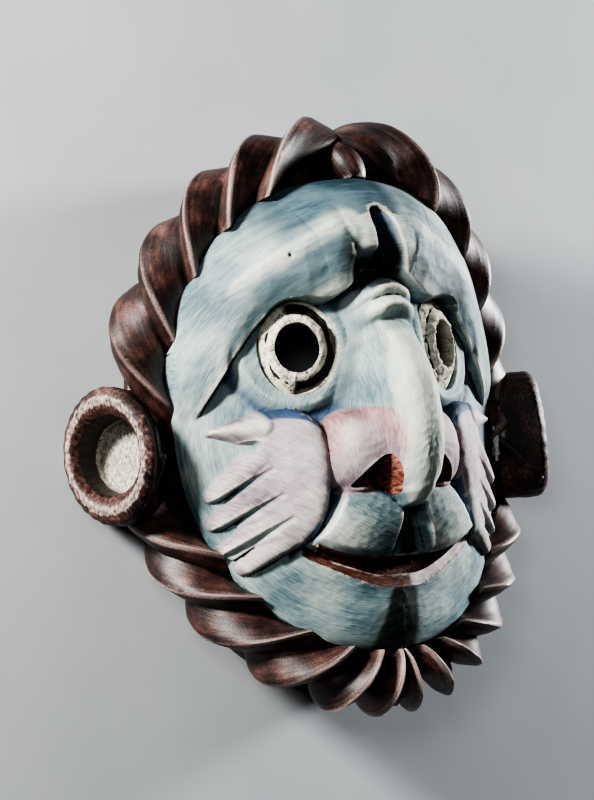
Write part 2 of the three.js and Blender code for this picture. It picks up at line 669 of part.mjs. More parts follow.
// The arched nostril: straight in from the front, its floor sloping down into the nose
const NOSTRIL = [
  [37, -47.5], [34, -42], [28, -36], [21, -31], [17, -31], [14.5, -36], [12, -45], [10, -54], [16, -50.5], [26, -48.5],
];
function nostril(side) {
  const ordered = side > 0 ? NOSTRIL.slice().reverse() : NOSTRIL;
  const front = ordered.map(([x, y]) => [side * x, y, 150]);
  const back = ordered.map(([x, y]) => [side * (x * 0.9 + 2), y + 1, 98 - 0.55 * (y + 50)]);
  return solid(loft([front, back]));
}

// The open mouth between the lips, and the slit through to the back
const MOUTH_HALF_WIDTH = 55;
const MOUTH_STEPS = 7;
const MOUTH_DEPTH = 10;
function mouth() {
  const rim = [];
  for (let k = -MOUTH_STEPS; k <= MOUTH_STEPS; k++) {
    const x = (MOUTH_HALF_WIDTH * k) / MOUTH_STEPS;
    rim.push([x, upperLipEdge(Math.abs(x)) + 0.4]);
  }
  for (let k = MOUTH_STEPS - 1; k > -MOUTH_STEPS; k--) {
    const x = (MOUTH_HALF_WIDTH * k) / MOUTH_STEPS;
    rim.push([x, lowerLipTop(Math.abs(x)) - 0.4]);
  }
  const depth = ([x, y]) => cheekSurface(x, y) - MOUTH_DEPTH * smooth(MOUTH_HALF_WIDTH + 8, 30, Math.abs(x)) - 3;
  const front = rim.map(([x, y]) => [x, y, 125]);
  const back = rim.map(([x, y]) => [x * 0.97, y, depth([x, y])]);
  const slit = new THREE.BoxGeometry(34, 4.4, 70).translate(0, -91.2, 60);
  return solid(loft([front, back])).add(solid(slit));
}

// A leaf-shaped piece between two points, as wide as it is asked to be across X and Y
function leaf(from, to, halfWidth, halfHeight, sides, sections, blunt = 0.06) {
  const start = new THREE.Vector3(...from);
  const end = new THREE.Vector3(...to);
  const along = end.clone().sub(start).normalize();
  const wide = new THREE.Vector3(0, 0, 1).cross(along).normalize();
  const high = new THREE.Vector3().crossVectors(along, wide).normalize();
  const loops = [];
  for (let k = 0; k <= sections; k++) {
    const t = k / sections;
    const swell = Math.sqrt(Math.sin(Math.PI * mix(blunt, 1 - blunt, t)));
    const loop = [];
    for (let i = 0; i < sides; i++) {
      const a = (2 * Math.PI * i) / sides;
      const p = start.clone().lerp(end, t);
      p.addScaledVector(wide, halfWidth * swell * Math.cos(a));
      p.addScaledVector(high, halfHeight * swell * Math.sin(a));
      loop.push(p.toArray());
    }
    loops.push(loop);
  }
  return solid(loft(loops));
}

// Ear: a deep cup with a rolled rim, turned outwards and flattened where it meets the head.
// Each loop's half width, half height and place along the ear's axis, from the head out over the rim
// and down to the floor of the cup
const EAR_LOOPS = [
  [17.5, 40.5, -EAR_SEAT_DEPTH], [25, 41.5, -18], [29.5, 41.5, -10], [32, 41, -5.5],
  [30.5, 38.5, -2], [27, 34, 0], [24.5, 29, -0.8], [23, 25.5, -3.5], [22, 23.5, -7], [21.5, 22.5, -16],
  [20, 21.5, -EAR_CUP_DEPTH],
];
const EAR_SIDES = 24;

function earTransform(side) {
  const place = new THREE.Matrix4().makeTranslation(side * EAR_X, EAR_Y, EAR_Z);
  place.multiply(new THREE.Matrix4().makeRotationY(side * EAR_TURN));
  return place.multiply(new THREE.Matrix4().makeRotationZ(side * EAR_LEAN));
}

function earCup(side, grow) {
  const loops = EAR_LOOPS.map(([halfWidth, halfHeight, along]) => {
    const loop = [];
    for (let i = 0; i < EAR_SIDES; i++) {
      const a = (2 * Math.PI * i) / EAR_SIDES;
      const back = along === -EAR_SEAT_DEPTH ? along - grow : along;
      loop.push([(halfWidth + grow) * Math.cos(a), (halfHeight + grow) * Math.sin(a), back]);
    }
    return loop;
  });
  return solid(loft(loops).applyMatrix4(earTransform(side)));
}

// The sharp ridge down the front of the ear, from the head to the foot of the rim
const earRidge = (side, grow) => leaf([side * 121, -14, 31], [side * 147, -47, 44], 4 + grow, 8 + grow, 4, 4);

const ground = solid(new THREE.BoxGeometry(500, 500, 100).translate(0, 0, -50));
const underEars = solid(new THREE.BoxGeometry(500, 500, 100).translate(0, 0, -49.2));
const ear = (side, grow) => earCup(side, grow).add(earRidge(side, grow));

// The dark gaps between the fingers, tapering towards the knuckles
function fingerGap(side, [from, to]) {
  const [start, end] = [from, to].map(([x, y]) => [-side * x, y, cheekSurface(x, y) + 7]);
  return leaf(start, end, 2.6, 7, 5, 3, 0.1);
}

const NAIL_RADIUS = 0.9;
function nail(grow) {
  const radius = NAIL_RADIUS + grow;
  return leaf([-126, -19, 42.5], [-116, -18, 30], radius, radius, 6, 2, 0.2);
}

// Three turns of cord in the corner between the ear and the plate
const CORD_RADIUS = 1.3;
function lashing(grow) {
  const radius = CORD_RADIUS + grow;
  const turns = [
    [[118.2, -8, 36.4], [120.2, -22, 36.4]],
    [[120.4, -13, 37], [118.4, -31, 35.6]],
    [[117.8, -15, 36], [120.4, -27, 36]],
  ];
  return join(turns.map(([from, to]) => leaf(from, to, radius, radius, 5, 3, 0.2)));
}

function maskBody() {
  const wreath = join([
    wreathCore(),
    backWall(),
    ...wreathStrands(-1, RIGHT_STRANDS),
    ...wreathStrands(1, LEFT_STRANDS),
    leaf([-4, 166, 72], [6, 140, 82], 10, 10, 7, 5),
    leaf([2, -176, 58], [1, -141, 74], 6, 10, 6, 4),
  ]);
  let body = wreath.subtract(ear(-1, SEAM).add(ear(1, SEAM))).add(solid(plateGeometry(4)));
  body = body.subtract(join([ground, hollow()]));
  for (const side of [-1, 1]) {
    body = body.subtract(eyeCylinder(side, EYE_HALF_WIDTH, EYE_HALF_HEIGHT, -EYE_SOCKET_DEPTH, 40, EYE_SIDES));
    body = body.add(eyeBall(side));
    body = body.subtract(eyeCylinder(side, PUPIL_HALF_WIDTH, PUPIL_HALF_HEIGHT, -60, 40, 20));
    body = body.subtract(join([nostril(side), ...GAPS.map((gap) => fingerGap(side, gap))]));
  }
  return largest(body.subtract(join([mouth(), nail(SEAM), lashing(SEAM)])));
}

const mask = new THREE.Group();
function add(name, made, color, roughness, metalness = 0) {
  const material = new THREE.MeshStandardMaterial({ color, roughness, metalness, flatShading: true });
  const mesh = new THREE.Mesh(geometryOf(made), material);
  mesh.name = name;
  mask.add(mesh);
}

add("mask_body", maskBody(), 0x9db3b5, 0.7);
add("right_ear", ear(-1, 0).subtract(underEars).subtract(nail(SEAM)), 0x8a4e40, 0.6);
add("left_ear", ear(1, 0).subtract(underEars).subtract(lashing(SEAM)), 0x8a4e40, 0.6);
add("nail", nail(0), 0x2c2724, 0.5, 0.8);
add("lashing", lashing(0), 0xd8cda8, 0.85);

export default mask;
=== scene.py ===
# A carved and painted wooden spirit mask lying on its back rim: the pieces as they look.
# Millimetres in the mask's own frame are used throughout and turned into metres when a mesh is moved.
# X runs across the face, Y from chin to forehead, Z out of the face; Z = 0 is the back rim.
import math

import bpy
import numpy as np
from mathutils import Matrix, Vector


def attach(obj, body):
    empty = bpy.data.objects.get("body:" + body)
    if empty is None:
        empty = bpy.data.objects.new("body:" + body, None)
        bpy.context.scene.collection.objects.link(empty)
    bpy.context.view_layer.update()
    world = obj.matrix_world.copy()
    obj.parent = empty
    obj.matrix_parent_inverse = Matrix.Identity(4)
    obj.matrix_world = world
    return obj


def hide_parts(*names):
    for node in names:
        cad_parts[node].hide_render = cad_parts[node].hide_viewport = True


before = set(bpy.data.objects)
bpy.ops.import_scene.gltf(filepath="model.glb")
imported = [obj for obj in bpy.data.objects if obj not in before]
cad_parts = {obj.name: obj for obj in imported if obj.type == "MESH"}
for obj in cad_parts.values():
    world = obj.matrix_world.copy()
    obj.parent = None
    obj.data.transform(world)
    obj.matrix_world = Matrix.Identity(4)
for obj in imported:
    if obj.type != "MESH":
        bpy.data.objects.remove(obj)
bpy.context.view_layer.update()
MM = 0.001


# Camera, floor and light

VIEW_YAW, VIEW_PITCH, VIEW_ROLL = 0.5525, -0.1103, 0.1098
VIEW_DISTANCE = 1409.4
VIEW_FOCAL_PIXELS = 2276.35
VIEW_SHIFT = (24.17, -13.44)
VIEW_PIVOT_HEIGHT = 35.0
FRAME_HEIGHT_PIXELS = 800
SENSOR = 36
LIGHTS_AIM = (0, 0, 0.06)


def place_camera():
    s, c = math.sin(VIEW_YAW), math.cos(VIEW_YAW)
    sp, cp = math.sin(VIEW_PITCH), math.cos(VIEW_PITCH)
    back = np.array([-s * cp, sp, c * cp])
    right = np.array([c, 0.0, s])
    right -= back * np.dot(right, back)
    right /= np.linalg.norm(right)
    up = np.cross(back, right)
    cr, sr = math.cos(VIEW_ROLL), math.sin(VIEW_ROLL)
    turn = np.array([[cr, -sr, 0], [sr, cr, 0], [0, 0, 1]]) @ np.stack([right, up, back])
    place = turn.T @ np.array([-VIEW_SHIFT[0], -VIEW_SHIFT[1], VIEW_DISTANCE])
    place += np.array([0, 0, VIEW_PIVOT_HEIGHT])
    data = bpy.data.cameras.new("camera")
    data.sensor_width = SENSOR
    data.sensor_fit = "AUTO"
    data.lens = VIEW_FOCAL_PIXELS / FRAME_HEIGHT_PIXELS * SENSOR
    data.clip_start = 0.05
    camera = bpy.data.objects.new("camera", data)
    bpy.context.collection.objects.link(camera)
    matrix = np.eye(4)
    matrix[:3, :3] = turn.T
    matrix[:3, 3] = place * MM
    camera.matrix_world = Matrix(matrix.tolist())
    bpy.context.scene.camera = camera


def add_light(name, place, energy, size, tint):
    data = bpy.data.lights.new(name, "AREA")
    data.energy = energy
    data.size = size
    data.color = tint
    light = bpy.data.objects.new(name, data)
    bpy.context.collection.objects.link(light)
    light.location = place
    aim = Vector(LIGHTS_AIM) - Vector(place)
    light.rotation_euler = aim.to_track_quat("-Z", "Y").to_euler()


# Colours and nodes

def colour(code):
    """An sRGB hex colour as the linear one that the shader takes."""
    parts = [int(code[i:i + 2], 16) / 255 for i in (1, 3, 5)]
    linear = [p / 12.92 if p <= 0.04045 else ((p + 0.055) / 1.055) ** 2.4 for p in parts]
    return (*linear, 1.0)


def add(tree, kind, settings=None, inputs=None):
    """Add a node, with its settings, and its inputs as values or as links from other sockets."""
    made = tree.nodes.new(kind)
    for name, value in (settings or {}).items():
        if name == "ramp":
            elements = made.color_ramp.elements
            while len(elements) < len(value):
                elements.new(0.5)
            for element, (place, shade) in zip(elements, value):
                element.position = place
                element.color = shade
        else:
            setattr(made, name, value)
    for name, value in (inputs or {}).items():
        if isinstance(value, bpy.types.NodeSocket):
            tree.links.new(value, made.inputs[name])
        else:
            made.inputs[name].default_value = value
    return made


def new_material(name):
    """An empty material, its tree and its surface shader."""
    material = bpy.data.materials.new(name)
    material.use_nodes = True
    return material, material.node_tree, material.node_tree.nodes["Principled BSDF"]


# Shapes as functions of places

def clamp(v, low, high):
    return np.minimum(np.maximum(v, low), high)


def smooth(start, end, v):
    t = clamp((v - start) / (end - start), 0, 1)
    return t * t * (3 - 2 * t)


def bell(v, width):
    return np.exp(-((v / width) ** 2))


def mix(a, b, share):
    return a + (b - a) * share


def curve(points):
    """A smooth curve through (place, value) pairs."""
    xs = np.array([p[0] for p in points], float)
    ys = np.array([p[1] for p in points], float)
    last = len(points) - 1
    before = np.maximum(np.arange(last + 1) - 1, 0)
    after = np.minimum(np.arange(last + 1) + 1, last)
    slope = (ys[after] - ys[before]) / (xs[after] - xs[before])

    def value(place):
        x = clamp(np.asarray(place, float), xs[0], xs[-1])
        i = np.clip(np.searchsorted(xs, x, side="right") - 1, 0, last - 1)
        h = xs[i + 1] - xs[i]
        t = (x - xs[i]) / h
        s = t * t * (3 - 2 * t)
        bent = (t ** 3 - 2 * t * t + t) * h * slope[i] + (t ** 3 - t * t) * h * slope[i + 1]
        return ys[i] * (1 - s) + ys[i + 1] * s + bent
    return value


def spline(points, steps, closed=False):
    """A dense line of points drawn smoothly through a few."""
    p = np.array(points, float)
    if closed:
        p = np.vstack([p[-1], p, p[0], p[1]])
    else:
        p = np.vstack([2 * p[0] - p[1], p, 2 * p[-1] - p[-2]])
    line = []
    for i in range(1, len(p) - 2):
        for k in range(steps):
            t = k / steps
            a, b, c, d = p[i - 1], p[i], p[i + 1], p[i + 2]
            line.append(0.5 * (2 * b + (c - a) * t + (2 * a - 5 * b + 4 * c - d) * t * t
                               + (3 * b - a - 3 * c + d) * t ** 3))
    if not closed:
        line.append(p[-2])
    return np.array(line)


def chance(i, j, seed):
    """A number from 0 to 1 that looks random and is the same on every run."""
    v = np.sin(i * 127.1 + j * 311.7 + seed * 74.7) * 43758.5453
    return v - np.floor(v)


def tool_cuts(a, b, length, width, seed):
    """Shallow cuts side by side: 0 in the bottom of each, about 1 on the ridge between two."""
    u, v = a / length, b / width
    i, j = np.floor(u), np.floor(v)
    best = np.full(np.shape(u), 9.0)
    for di in (-1, 0, 1):
        for dj in (-1, 0, 1):
            ci, cj = i + di, j + dj
            du = u - ci - 0.15 - 0.7 * chance(ci, cj, seed)
            dv = v - cj - 0.15 - 0.7 * chance(ci, cj, seed + 1)
            best = np.minimum(best, du * du + dv * dv)
    return best


# The carved front

PLATE_HALF_WIDTH = 113.0
PLATE_EXTRA_WIDTH_ABOVE = 3.5
PLATE_HALF_HEIGHT = 143.0
PLATE_EDGE_HEIGHT, PLATE_EDGE_RISE = 38.8, 36
CHEEK_ROUNDNESS = 1.8
EYE_X, EYE_Y = 53.0, 39.4
EYE_SURFACE_Z = 84.5
EYE_HALF_WIDTH, EYE_HALF_HEIGHT = 24.0, 28.8
EYE_OUTWARD_TURN = math.radians(31)
EYE_SOCKET_DEPTH = 9.0
EYE_BULGE = 12.0
PUPIL_HALF_WIDTH, PUPIL_HALF_HEIGHT = 13.4, 15.1


def plate_edge_x(y):
    power = 2.15 + 0.3 * smooth(-20, 30, y)
    share = np.abs(clamp(y / PLATE_HALF_HEIGHT, -1, 1)) ** power
    half = PLATE_HALF_WIDTH + PLATE_EXTRA_WIDTH_ABOVE * smooth(-10, 50, y)
    return half * np.maximum(1 - share, 1e-6) ** (1 / power)


def plate_edge_z(y):
    share = y / PLATE_HALF_HEIGHT
    return PLATE_EDGE_HEIGHT + PLATE_EDGE_RISE * np.abs(share) ** 2.2 + 3 * share


midline = curve([
    (-143, 79), (-129, 84.5), (-112, 87), (-90, 93.5), (-60, 97), (-20, 97),
    (20, 96), (60, 98), (95, 105), (119, 104.5), (131, 97), (143, 84)])


def cheek_surface(x, y):
    out = clamp(np.abs(x) / np.maximum(plate_edge_x(y), 1), 0, 1.05)
    return midline(y) - (midline(y) - plate_edge_z(y)) * out ** CHEEK_ROUNDNESS


brow_line = spline([
    (12, 80), (20, 73), (34, 65), (50, 66.5), (61, 64), (72, 54), (85, 36), (96, 18), (105, 2)], 5)
BROW_CREST = 13
brow_height = curve([(0, 11), (0.25, 10.5), (0.5, 9.5), (0.75, 8), (0.92, 5.5), (1, 0)])
brow_width = curve([(0, 24), (0.4, 26), (0.75, 20), (1, 10)])
socket_depth = curve([(0, 2), (0.2, 6), (0.4, 8), (0.6, 8), (0.8, 5.5), (0.93, 3), (1, 0)])


def near_line(x, y, line):
    """Signed distance to a line, positive on its left, and the share of its length."""
    best = np.full(np.shape(x), 1e9)
    side = np.ones(np.shape(x))
    share = np.zeros(np.shape(x))
    last = len(line) - 1
    for i in range(last):
        vx, vy = line[i + 1] - line[i]
        t = clamp(((x - line[i][0]) * vx + (y - line[i][1]) * vy) / (vx * vx + vy * vy), 0, 1)
        ex = x - line[i][0] - t * vx
        ey = y - line[i][1] - t * vy
        d = np.hypot(ex, ey)
        closer = d < best - 1e-9
        best = np.where(closer, d, best)
        side = np.where(closer, np.where(vx * ey - vy * ex >= 0, 1, -1), side)
        share = np.where(closer, (i + t) / last, share)
    return best * side, share


def add_brow(x, y, z):
    above, share = near_line(np.abs(x), y, brow_line)
    step = smooth(-1, 2.2, above)
    past = above - BROW_CREST
    fall = np.where(past > 0, bell(past, brow_width(share)), 1)
    crown = np.where((above > 0) & (past < 0), 1 - 0.2 * (past / BROW_CREST) ** 2, 1)
    socket = socket_depth(share) * (1 - step) * np.where(above < 0, bell(above, 17), 1)
    return z + brow_height(share) * step * fall * crown - socket


forehead_ridge = spline([(22, 112), (32, 109), (56, 97), (81, 82), (97, 66)], 8)
FOREHEAD_RIDGE_HEIGHT = 4.2


def add_forehead_ridge(x, y, z):
    """A sharp ridge over each brow, from the frown down to the temple."""
    above, share = near_line(np.abs(x), y, forehead_ridge)
    reach = np.where(above > 0, 8, 15)
    ends = smooth(0, 0.3, share) * smooth(1, 0.75, share)
    return z + FOREHEAD_RIDGE_HEIGHT * np.exp(-np.abs(above) / reach) * ends


frown_width = curve([(60, 18), (72, 26), (90, 25), (105, 19), (116, 10), (121, 4)])
frown_depth = curve([(60, 0), (70, 8), (82, 15), (103, 15), (113, 12), (118, 8), (121, 0)])


def cut_frown(x, y, z):
    half = frown_width(y) * np.where(x > -1, mix(0.64, 0.9, smooth(100, 118, y)), 1)
    inside = clamp(1 - np.abs(x + 1) / half, 0, 1)
    # a tongue of wood is left standing in the cleft, on the right brow's side
    tongue_height = 0.96 - 0.3 * bell(x + 20, 4.5) * smooth(116, 106, y)
    tongue = smooth(-1, -7.5, x) * smooth(85, 96, y) * tongue_height
    return z - frown_depth(y) * smooth(0, 0.7, inside) * (1 - tongue)


def eye_plane(across):
    return EYE_SURFACE_Z - 0.6 * (across - EYE_X)


def eye_share(x, y):
    """How far out of the eye's outline a place is, 1 on it, its angle in degrees and its share up."""
    dx = (np.abs(x) - EYE_X) / EYE_HALF_WIDTH
    dy = (y - EYE_Y) / EYE_HALF_HEIGHT
    return np.hypot(dx, dy), np.degrees(np.arctan2(dy, dx)), dy


def shape_lids(x, y, z):
    r, angle, dy = eye_share(x, y)
    near_eye = smooth(1.55, 1, r) * smooth(1.3, -0.2, dy) * 0.85
    lower = smooth(40, -10, angle) * smooth(-140, -100, angle)
    lid = 1.6 * bell(r - 1.17, 0.11) - 3.2 * bell(r - 1.45, 0.13) * smooth(35, -20, angle)
    return z + (eye_plane(np.abs(x)) - 2 - z) * near_eye + lid * lower


nose_ridge = curve([
    (-61.5, 101), (-60.4, 112), (-57, 121), (-50, 128.5), (-37, 135), (-20, 139), (-2, 138.5),
    (15, 136), (28, 130), (36, 125.5), (43, 120), (49, 113), (52, 111.8), (56, 117), (60, 119.5),
    (63.5, 115), (65.5, 112.5), (68, 115), (71, 115.5), (74.5, 110), (80, 99)])
nose_half_width = curve([
    (-62, 7), (-56, 10), (-50, 17), (-44, 30), (-20, 37), (0, 36), (20, 32), (35, 27), (48, 24),
    (60, 26), (70, 25), (80, 20)])
beak_section = curve([(0, 1), (0.14, 0.985), (0.28, 0.9), (0.42, 0.7), (0.6, 0.38), (0.8, 0.12), (1, 0)])
tip_section = curve([(0, 1), (0.35, 0.96), (0.6, 0.84), (0.85, 0.5), (1, 0)])
bridge_section = curve([(0, 1), (0.3, 0.93), (0.6, 0.66), (0.85, 0.25), (1, 0)])
NOSE_END, NOSE_ROOT = -61.5, 84


def nose_surface(x, y, z):
    out = clamp(np.abs(x) / nose_half_width(y), 0, 1)
    ridge = nose_ridge(y + 0.018 * x * x * smooth(30, 50, y))
    section = mix(beak_section(out), tip_section(out), smooth(-44, -54, y))
    section = mix(section, bridge_section(out), smooth(34, 46, y))
    return np.where((y > NOSE_END) & (y < NOSE_ROOT), z + np.maximum(ridge - z, 0) * section, z)


WING_X, WING_Y = 30, -25.5
WING_HALF_WIDTH, WING_HALF_HEIGHT = 17.5, 24
WING_TURN = 0.12
wing_top = curve([(10, 121), (20, 118), (30, 113.5), (40, 108.5), (47, 104)])


def turned(x, y, angle):
    return x * math.cos(angle) + y * math.sin(angle), y * math.cos(angle) - x * math.sin(angle)


def wing_share(x, y):
    """How far out of the nostril's wing a place is, 1 on its edge."""
    qx, qy = turned(np.abs(x) - WING_X, y - WING_Y, WING_TURN)
    return (np.abs(qx / WING_HALF_WIDTH) ** 2.5 + np.abs(qy / WING_HALF_HEIGHT) ** 2.5) ** 0.4


def add_wing(x, y, z):
    r = wing_share(x, y)
    along = y - WING_Y
    top = wing_top(np.abs(x)) - 0.1 * np.maximum(-along, 0) - 0.004 * along * along
    raised = z + (top - z) * np.sqrt(np.maximum(1 - clamp(r, 0, 1) ** 3, 0))
    soft = 0.5 * (z + raised + np.sqrt((z - raised) ** 2 + 2.25)) - 0.75
    return np.where(r < 1, np.maximum(soft, z - 0.75), z)


KNUCKLES = [
    ((-78, -25), (-99.2, -42), 7.8, 5.8),
    ((-74, -41), (-98.3, -58.6), 8.2, 6.2),
    ((-70, -56.5), (-94.4, -75.2), 7.8, 6.0),
    ((-65, -71), (-86.6, -85.4), 7.6, 5.4)]
GAPS = [((-75, -31.5), (-104, -50.5)), ((-71, -47), (-102, -66)), ((-67, -61), (-98, -80.5))]
THUMB = ((-76, -6.5), (-99.5, -5.2), 10.8, 2.6)
THUMB_WEB = ((-81, -16.5), (-101, -19.5), 3.2, 7)
PALM_X, PALM_Y = 67.5, -38
PALM_HALF_WIDTH, PALM_HALF_HEIGHT = 24.5, 42.5
PALM_TURN = -0.087
hand_height = curve([(-24.5, 6.5), (-10, 9), (4, 12), (13, 14.5), (19, 15), (24.5, 14)])


def finger(x, y, start, end, start_radius, end_radius):
    """How far out of a tapered finger a place is, 1 at its side, and the share of its length."""
    vx, vy = end[0] - start[0], end[1] - start[1]
    t = clamp(((x - start[0]) * vx + (y - start[1]) * vy) / (vx * vx + vy * vy), 0, 1)
    d = np.hypot(x - start[0] - t * vx, y - start[1] - t * vy)
    return d / mix(start_radius, end_radius, t), t


def palm_share(x, y):
    """How far out of the palm a place is, 1 on its edge, and where that is in the palm."""
    qx, qy = turned(PALM_X - np.abs(x), y - PALM_Y, PALM_TURN)
    power = 2.25 + 0.25 * smooth(-10, 10, qy)
    share = (np.abs(qx / PALM_HALF_WIDTH) ** power + np.abs(qy / PALM_HALF_HEIGHT) ** power) ** (1 / power)
    return share, qx, qy


def hand_shape(x, y):
    """Height of the hand over the cheek, and how deep the place is in a gap between the fingers."""
    r, qx, qy = palm_share(x, y)
    rise = hand_height(qx) * np.sqrt(np.maximum(1 - clamp(r, 0, 1) ** 4.5, 0))
    px = -np.abs(x)
    q, t = finger(px, y, *THUMB)
    thumb = (10 - 3.8 * t) * np.maximum(1 - clamp(q, 0, 1) ** 1.6, 0) ** 0.62
    rise = np.maximum(rise, thumb)
    for knuckle in KNUCKLES:
        q, t = finger(px, y, *knuckle)
        rise = np.maximum(rise, (9.5 - 2.6 * t) * np.sqrt(1 - clamp(q, 0, 1) ** 2.2))
    groove = np.zeros(np.shape(px))
    for start, end in GAPS:
        q, t = finger(px, y, start, end, 1.8, 3.6)
        depth = 1.5 + 3.2 * smooth(0, 0.5, t)
        groove = np.maximum(groove, depth * np.maximum(1 - clamp(q, 0, 1) ** 1.5, 0))
    q, t = finger(px, y, *THUMB_WEB)
    groove = np.maximum(groove, 9 * np.maximum(1 - q * q, 0) ** 0.6)
    return np.maximum(rise - groove, 0), groove


upper_lip_edge = curve([(0, -89.5), (22, -89), (36, -86.5), (47, -82.5), (57, -77)])
lower_lip_top = curve([(0, -98), (16, -97), (33, -91), (47, -84.5), (57, -78)])
lower_lip_edge = curve([(0, -106.5), (14, -105.5), (32, -98.5), (46, -91), (57, -84.5), (63, -80)])
lip_side = curve([(-92, 64), (-77, 58.5), (-69, 52), (-58, 45), (-47, 38.5), (-42, 36)])
lip_crest = curve([(-92, 92), (-88, 96), (-80, 101), (-68, 105), (-56, 104), (-47, 100)])


LOWER_LIP_END = 64


def down_lower_lip(across, y):
    """The share of the way down the lower lip."""
    top = lower_lip_top(across)
    return (top - y) / np.maximum(top - lower_lip_edge(across), 0.5)


def shape_lips(x, y, z):
    across = np.abs(x)
    inside = lip_side(y) - across
    groove_half_width = mix(7.5, 12.5, smooth(-60, -86, y))
    groove = 11 * smooth(1.25, 0.5, np.abs(x - 4.5) / groove_half_width) * smooth(-54, -64, y)
    pad = lip_crest(y) - 0.0085 * np.maximum(across - 16, 0) ** 2 - groove
    roll = 0.45 + 0.55 * smooth(0, 5.5, y - upper_lip_edge(across))
    raised = np.maximum(pad - z, 0) * smooth(-0.3, 3.2, inside) * smooth(-44, -50, y) * roll
    out = z + np.where((y > upper_lip_edge(across)) & (inside > -1), raised, 0)
    out = out - 3.4 * bell(inside + 2.6, 2.2) * smooth(-40, -50, y) * smooth(-90, -78, y)
    down = down_lower_lip(across, y)
    bevel = (4 * down - 4.5) * smooth(LOWER_LIP_END, 54, across)
    return out + np.where((down > 0) & (down < 1), bevel, 0)


def front_surface(x, y):
    cheek = cheek_surface(x, y)
    z = cheek + 2 * bell(x, 30) * bell(y + 118, 12)
    z = add_forehead_ridge(x, y, add_brow(x, y, z))
    z = cut_frown(x, y, z)
    z = shape_lids(x, y, z)
    nose = nose_surface(x, y, z)
    z = np.where(nose > z + 0.01, np.maximum(nose, shape_lips(x, y, z)), shape_lips(x, y, z))
    z = add_wing(x, y, z)
    rise, groove = hand_shape(x, y)
    return np.where(rise > 0.02, np.maximum(z, cheek + rise), z)


# Meshes moved by the functions

def fresh(add_primitive, name, **given):
    """Add a primitive by itself, selected and active."""
    bpy.ops.object.select_all(action="DESELECT")
    add_primitive(**given)
    made = bpy.context.object
    made.name = name
    return made


def choose(piece):
    """Make a piece the only one selected, and the active one."""
    bpy.ops.object.select_all(action="DESELECT")
    bpy.context.view_layer.objects.active = piece
    piece.select_set(True)


def places(piece):
    flat = np.empty(len(piece.data.vertices) * 3)
    piece.data.vertices.foreach_get("co", flat)
    return flat.reshape(-1, 3)


def reshape(piece, shape):
    """Move every vertex to where a function puts it, in millimetres, and turn the faces outwards."""
    moved = shape(places(piece)) * MM
    piece.data.vertices.foreach_set("co", moved.astype(np.float32).ravel())
    piece.data.update()
    turn_outwards(piece)


def turn_outwards(piece):
    choose(piece)
    bpy.ops.object.mode_set(mode="EDIT")
    bpy.ops.mesh.select_all(action="SELECT")
    bpy.ops.mesh.normals_make_consistent(inside=False)
    bpy.ops.object.mode_set(mode="OBJECT")


def sphere_shares(unit):
    """Of a sphere's vertices, the share of the way from pole to pole and the angle round it."""
    return np.arccos(clamp(unit[:, 2], -1, 1)) / math.pi, np.arctan2(unit[:, 1], unit[:, 0])


# Zones of the block, by place in its list of materials
PAINT, ROPE, BARE, CHALK, CUT = range(5)


def zone(piece, index):
    """Give a piece the block's list of materials and all its faces one of them."""
    for material in block_materials:
        piece.data.materials.append(material)
    indices = np.full(len(piece.data.polygons), index, dtype=np.int32)
    piece.data.polygons.foreach_set("material_index", indices)
    return piece


def combine(piece, operation, others):
    """Join other pieces to one, or cut them out of it, one after the other."""
    choose(piece)
    for other in others:
        modifier = piece.modifiers.new("combine", "BOOLEAN")
        modifier.operation = operation
        modifier.solver = "MANIFOLD"
        modifier.object = other
        bpy.ops.object.modifier_apply(modifier=modifier.name)
        bpy.data.objects.remove(other)
    return piece


# The front plate: a fine grid drawn into the plate's outline and raised by the carving
PLATE_CELLS = 400
PLATE_UNDERSIDE = 4.0
# A small old hole over the right eye
OLD_HOLE_X, OLD_HOLE_Y = -57.1, 92.9


def plate():
    piece = fresh(bpy.ops.mesh.primitive_grid_add, "plate", x_subdivisions=PLATE_CELLS,
                  y_subdivisions=PLATE_CELLS, size=2)
    top = len(piece.data.vertices)
    bpy.ops.object.mode_set(mode="EDIT")
    bpy.ops.mesh.select_all(action="DESELECT")
    bpy.ops.mesh.select_mode(type="EDGE")
    bpy.ops.mesh.select_non_manifold()
    bpy.ops.mesh.extrude_edges_move()
    bpy.ops.mesh.edge_face_add()
    bpy.ops.object.mode_set(mode="OBJECT")

    def shape(unit):
        u, v = unit[:, 0], unit[:, 1]
        a = u * np.sqrt(1 - v * v / 2)
        b = v * np.sqrt(1 - u * u / 2)
        y = b * PLATE_HALF_HEIGHT
        x = a / np.sqrt(np.maximum(1 - b * b, 1e-9)) * plate_edge_x(y)
        z = front_surface(x, y)
        # knife cuts, longer than wide, that follow the round of the face
        round_face = np.arctan2(x, y + 20) * 95
        from_middle = np.hypot(x, y + 20)
        cuts = 0.65 * (tool_cuts(round_face, from_middle, 15, 7.5, 3) - 0.4)
        cuts = cuts + smooth(45, 62, y) * (tool_cuts(x, y, 10, 9, 17) - 0.4)
        cuts = cuts + 0.42 * (tool_cuts(x + 0.3 * y, y - 0.4 * x, 6.5, 4.2, 9) - 0.4)
        z = z + cuts * smooth(1.0, 0.93, np.hypot(a, b))
        z = z - 2.5 * bell(np.hypot(x - OLD_HOLE_X, y - OLD_HOLE_Y), 1.2)
        below = np.arange(len(x)) >= top
        drawn_in = np.where(below, 0.985, 1)
        return np.stack([x * drawn_in, y * drawn_in, np.where(below, PLATE_UNDERSIDE, z)], 1)

    reshape(piece, shape)
    return zone(piece, PAINT)


# The wreath

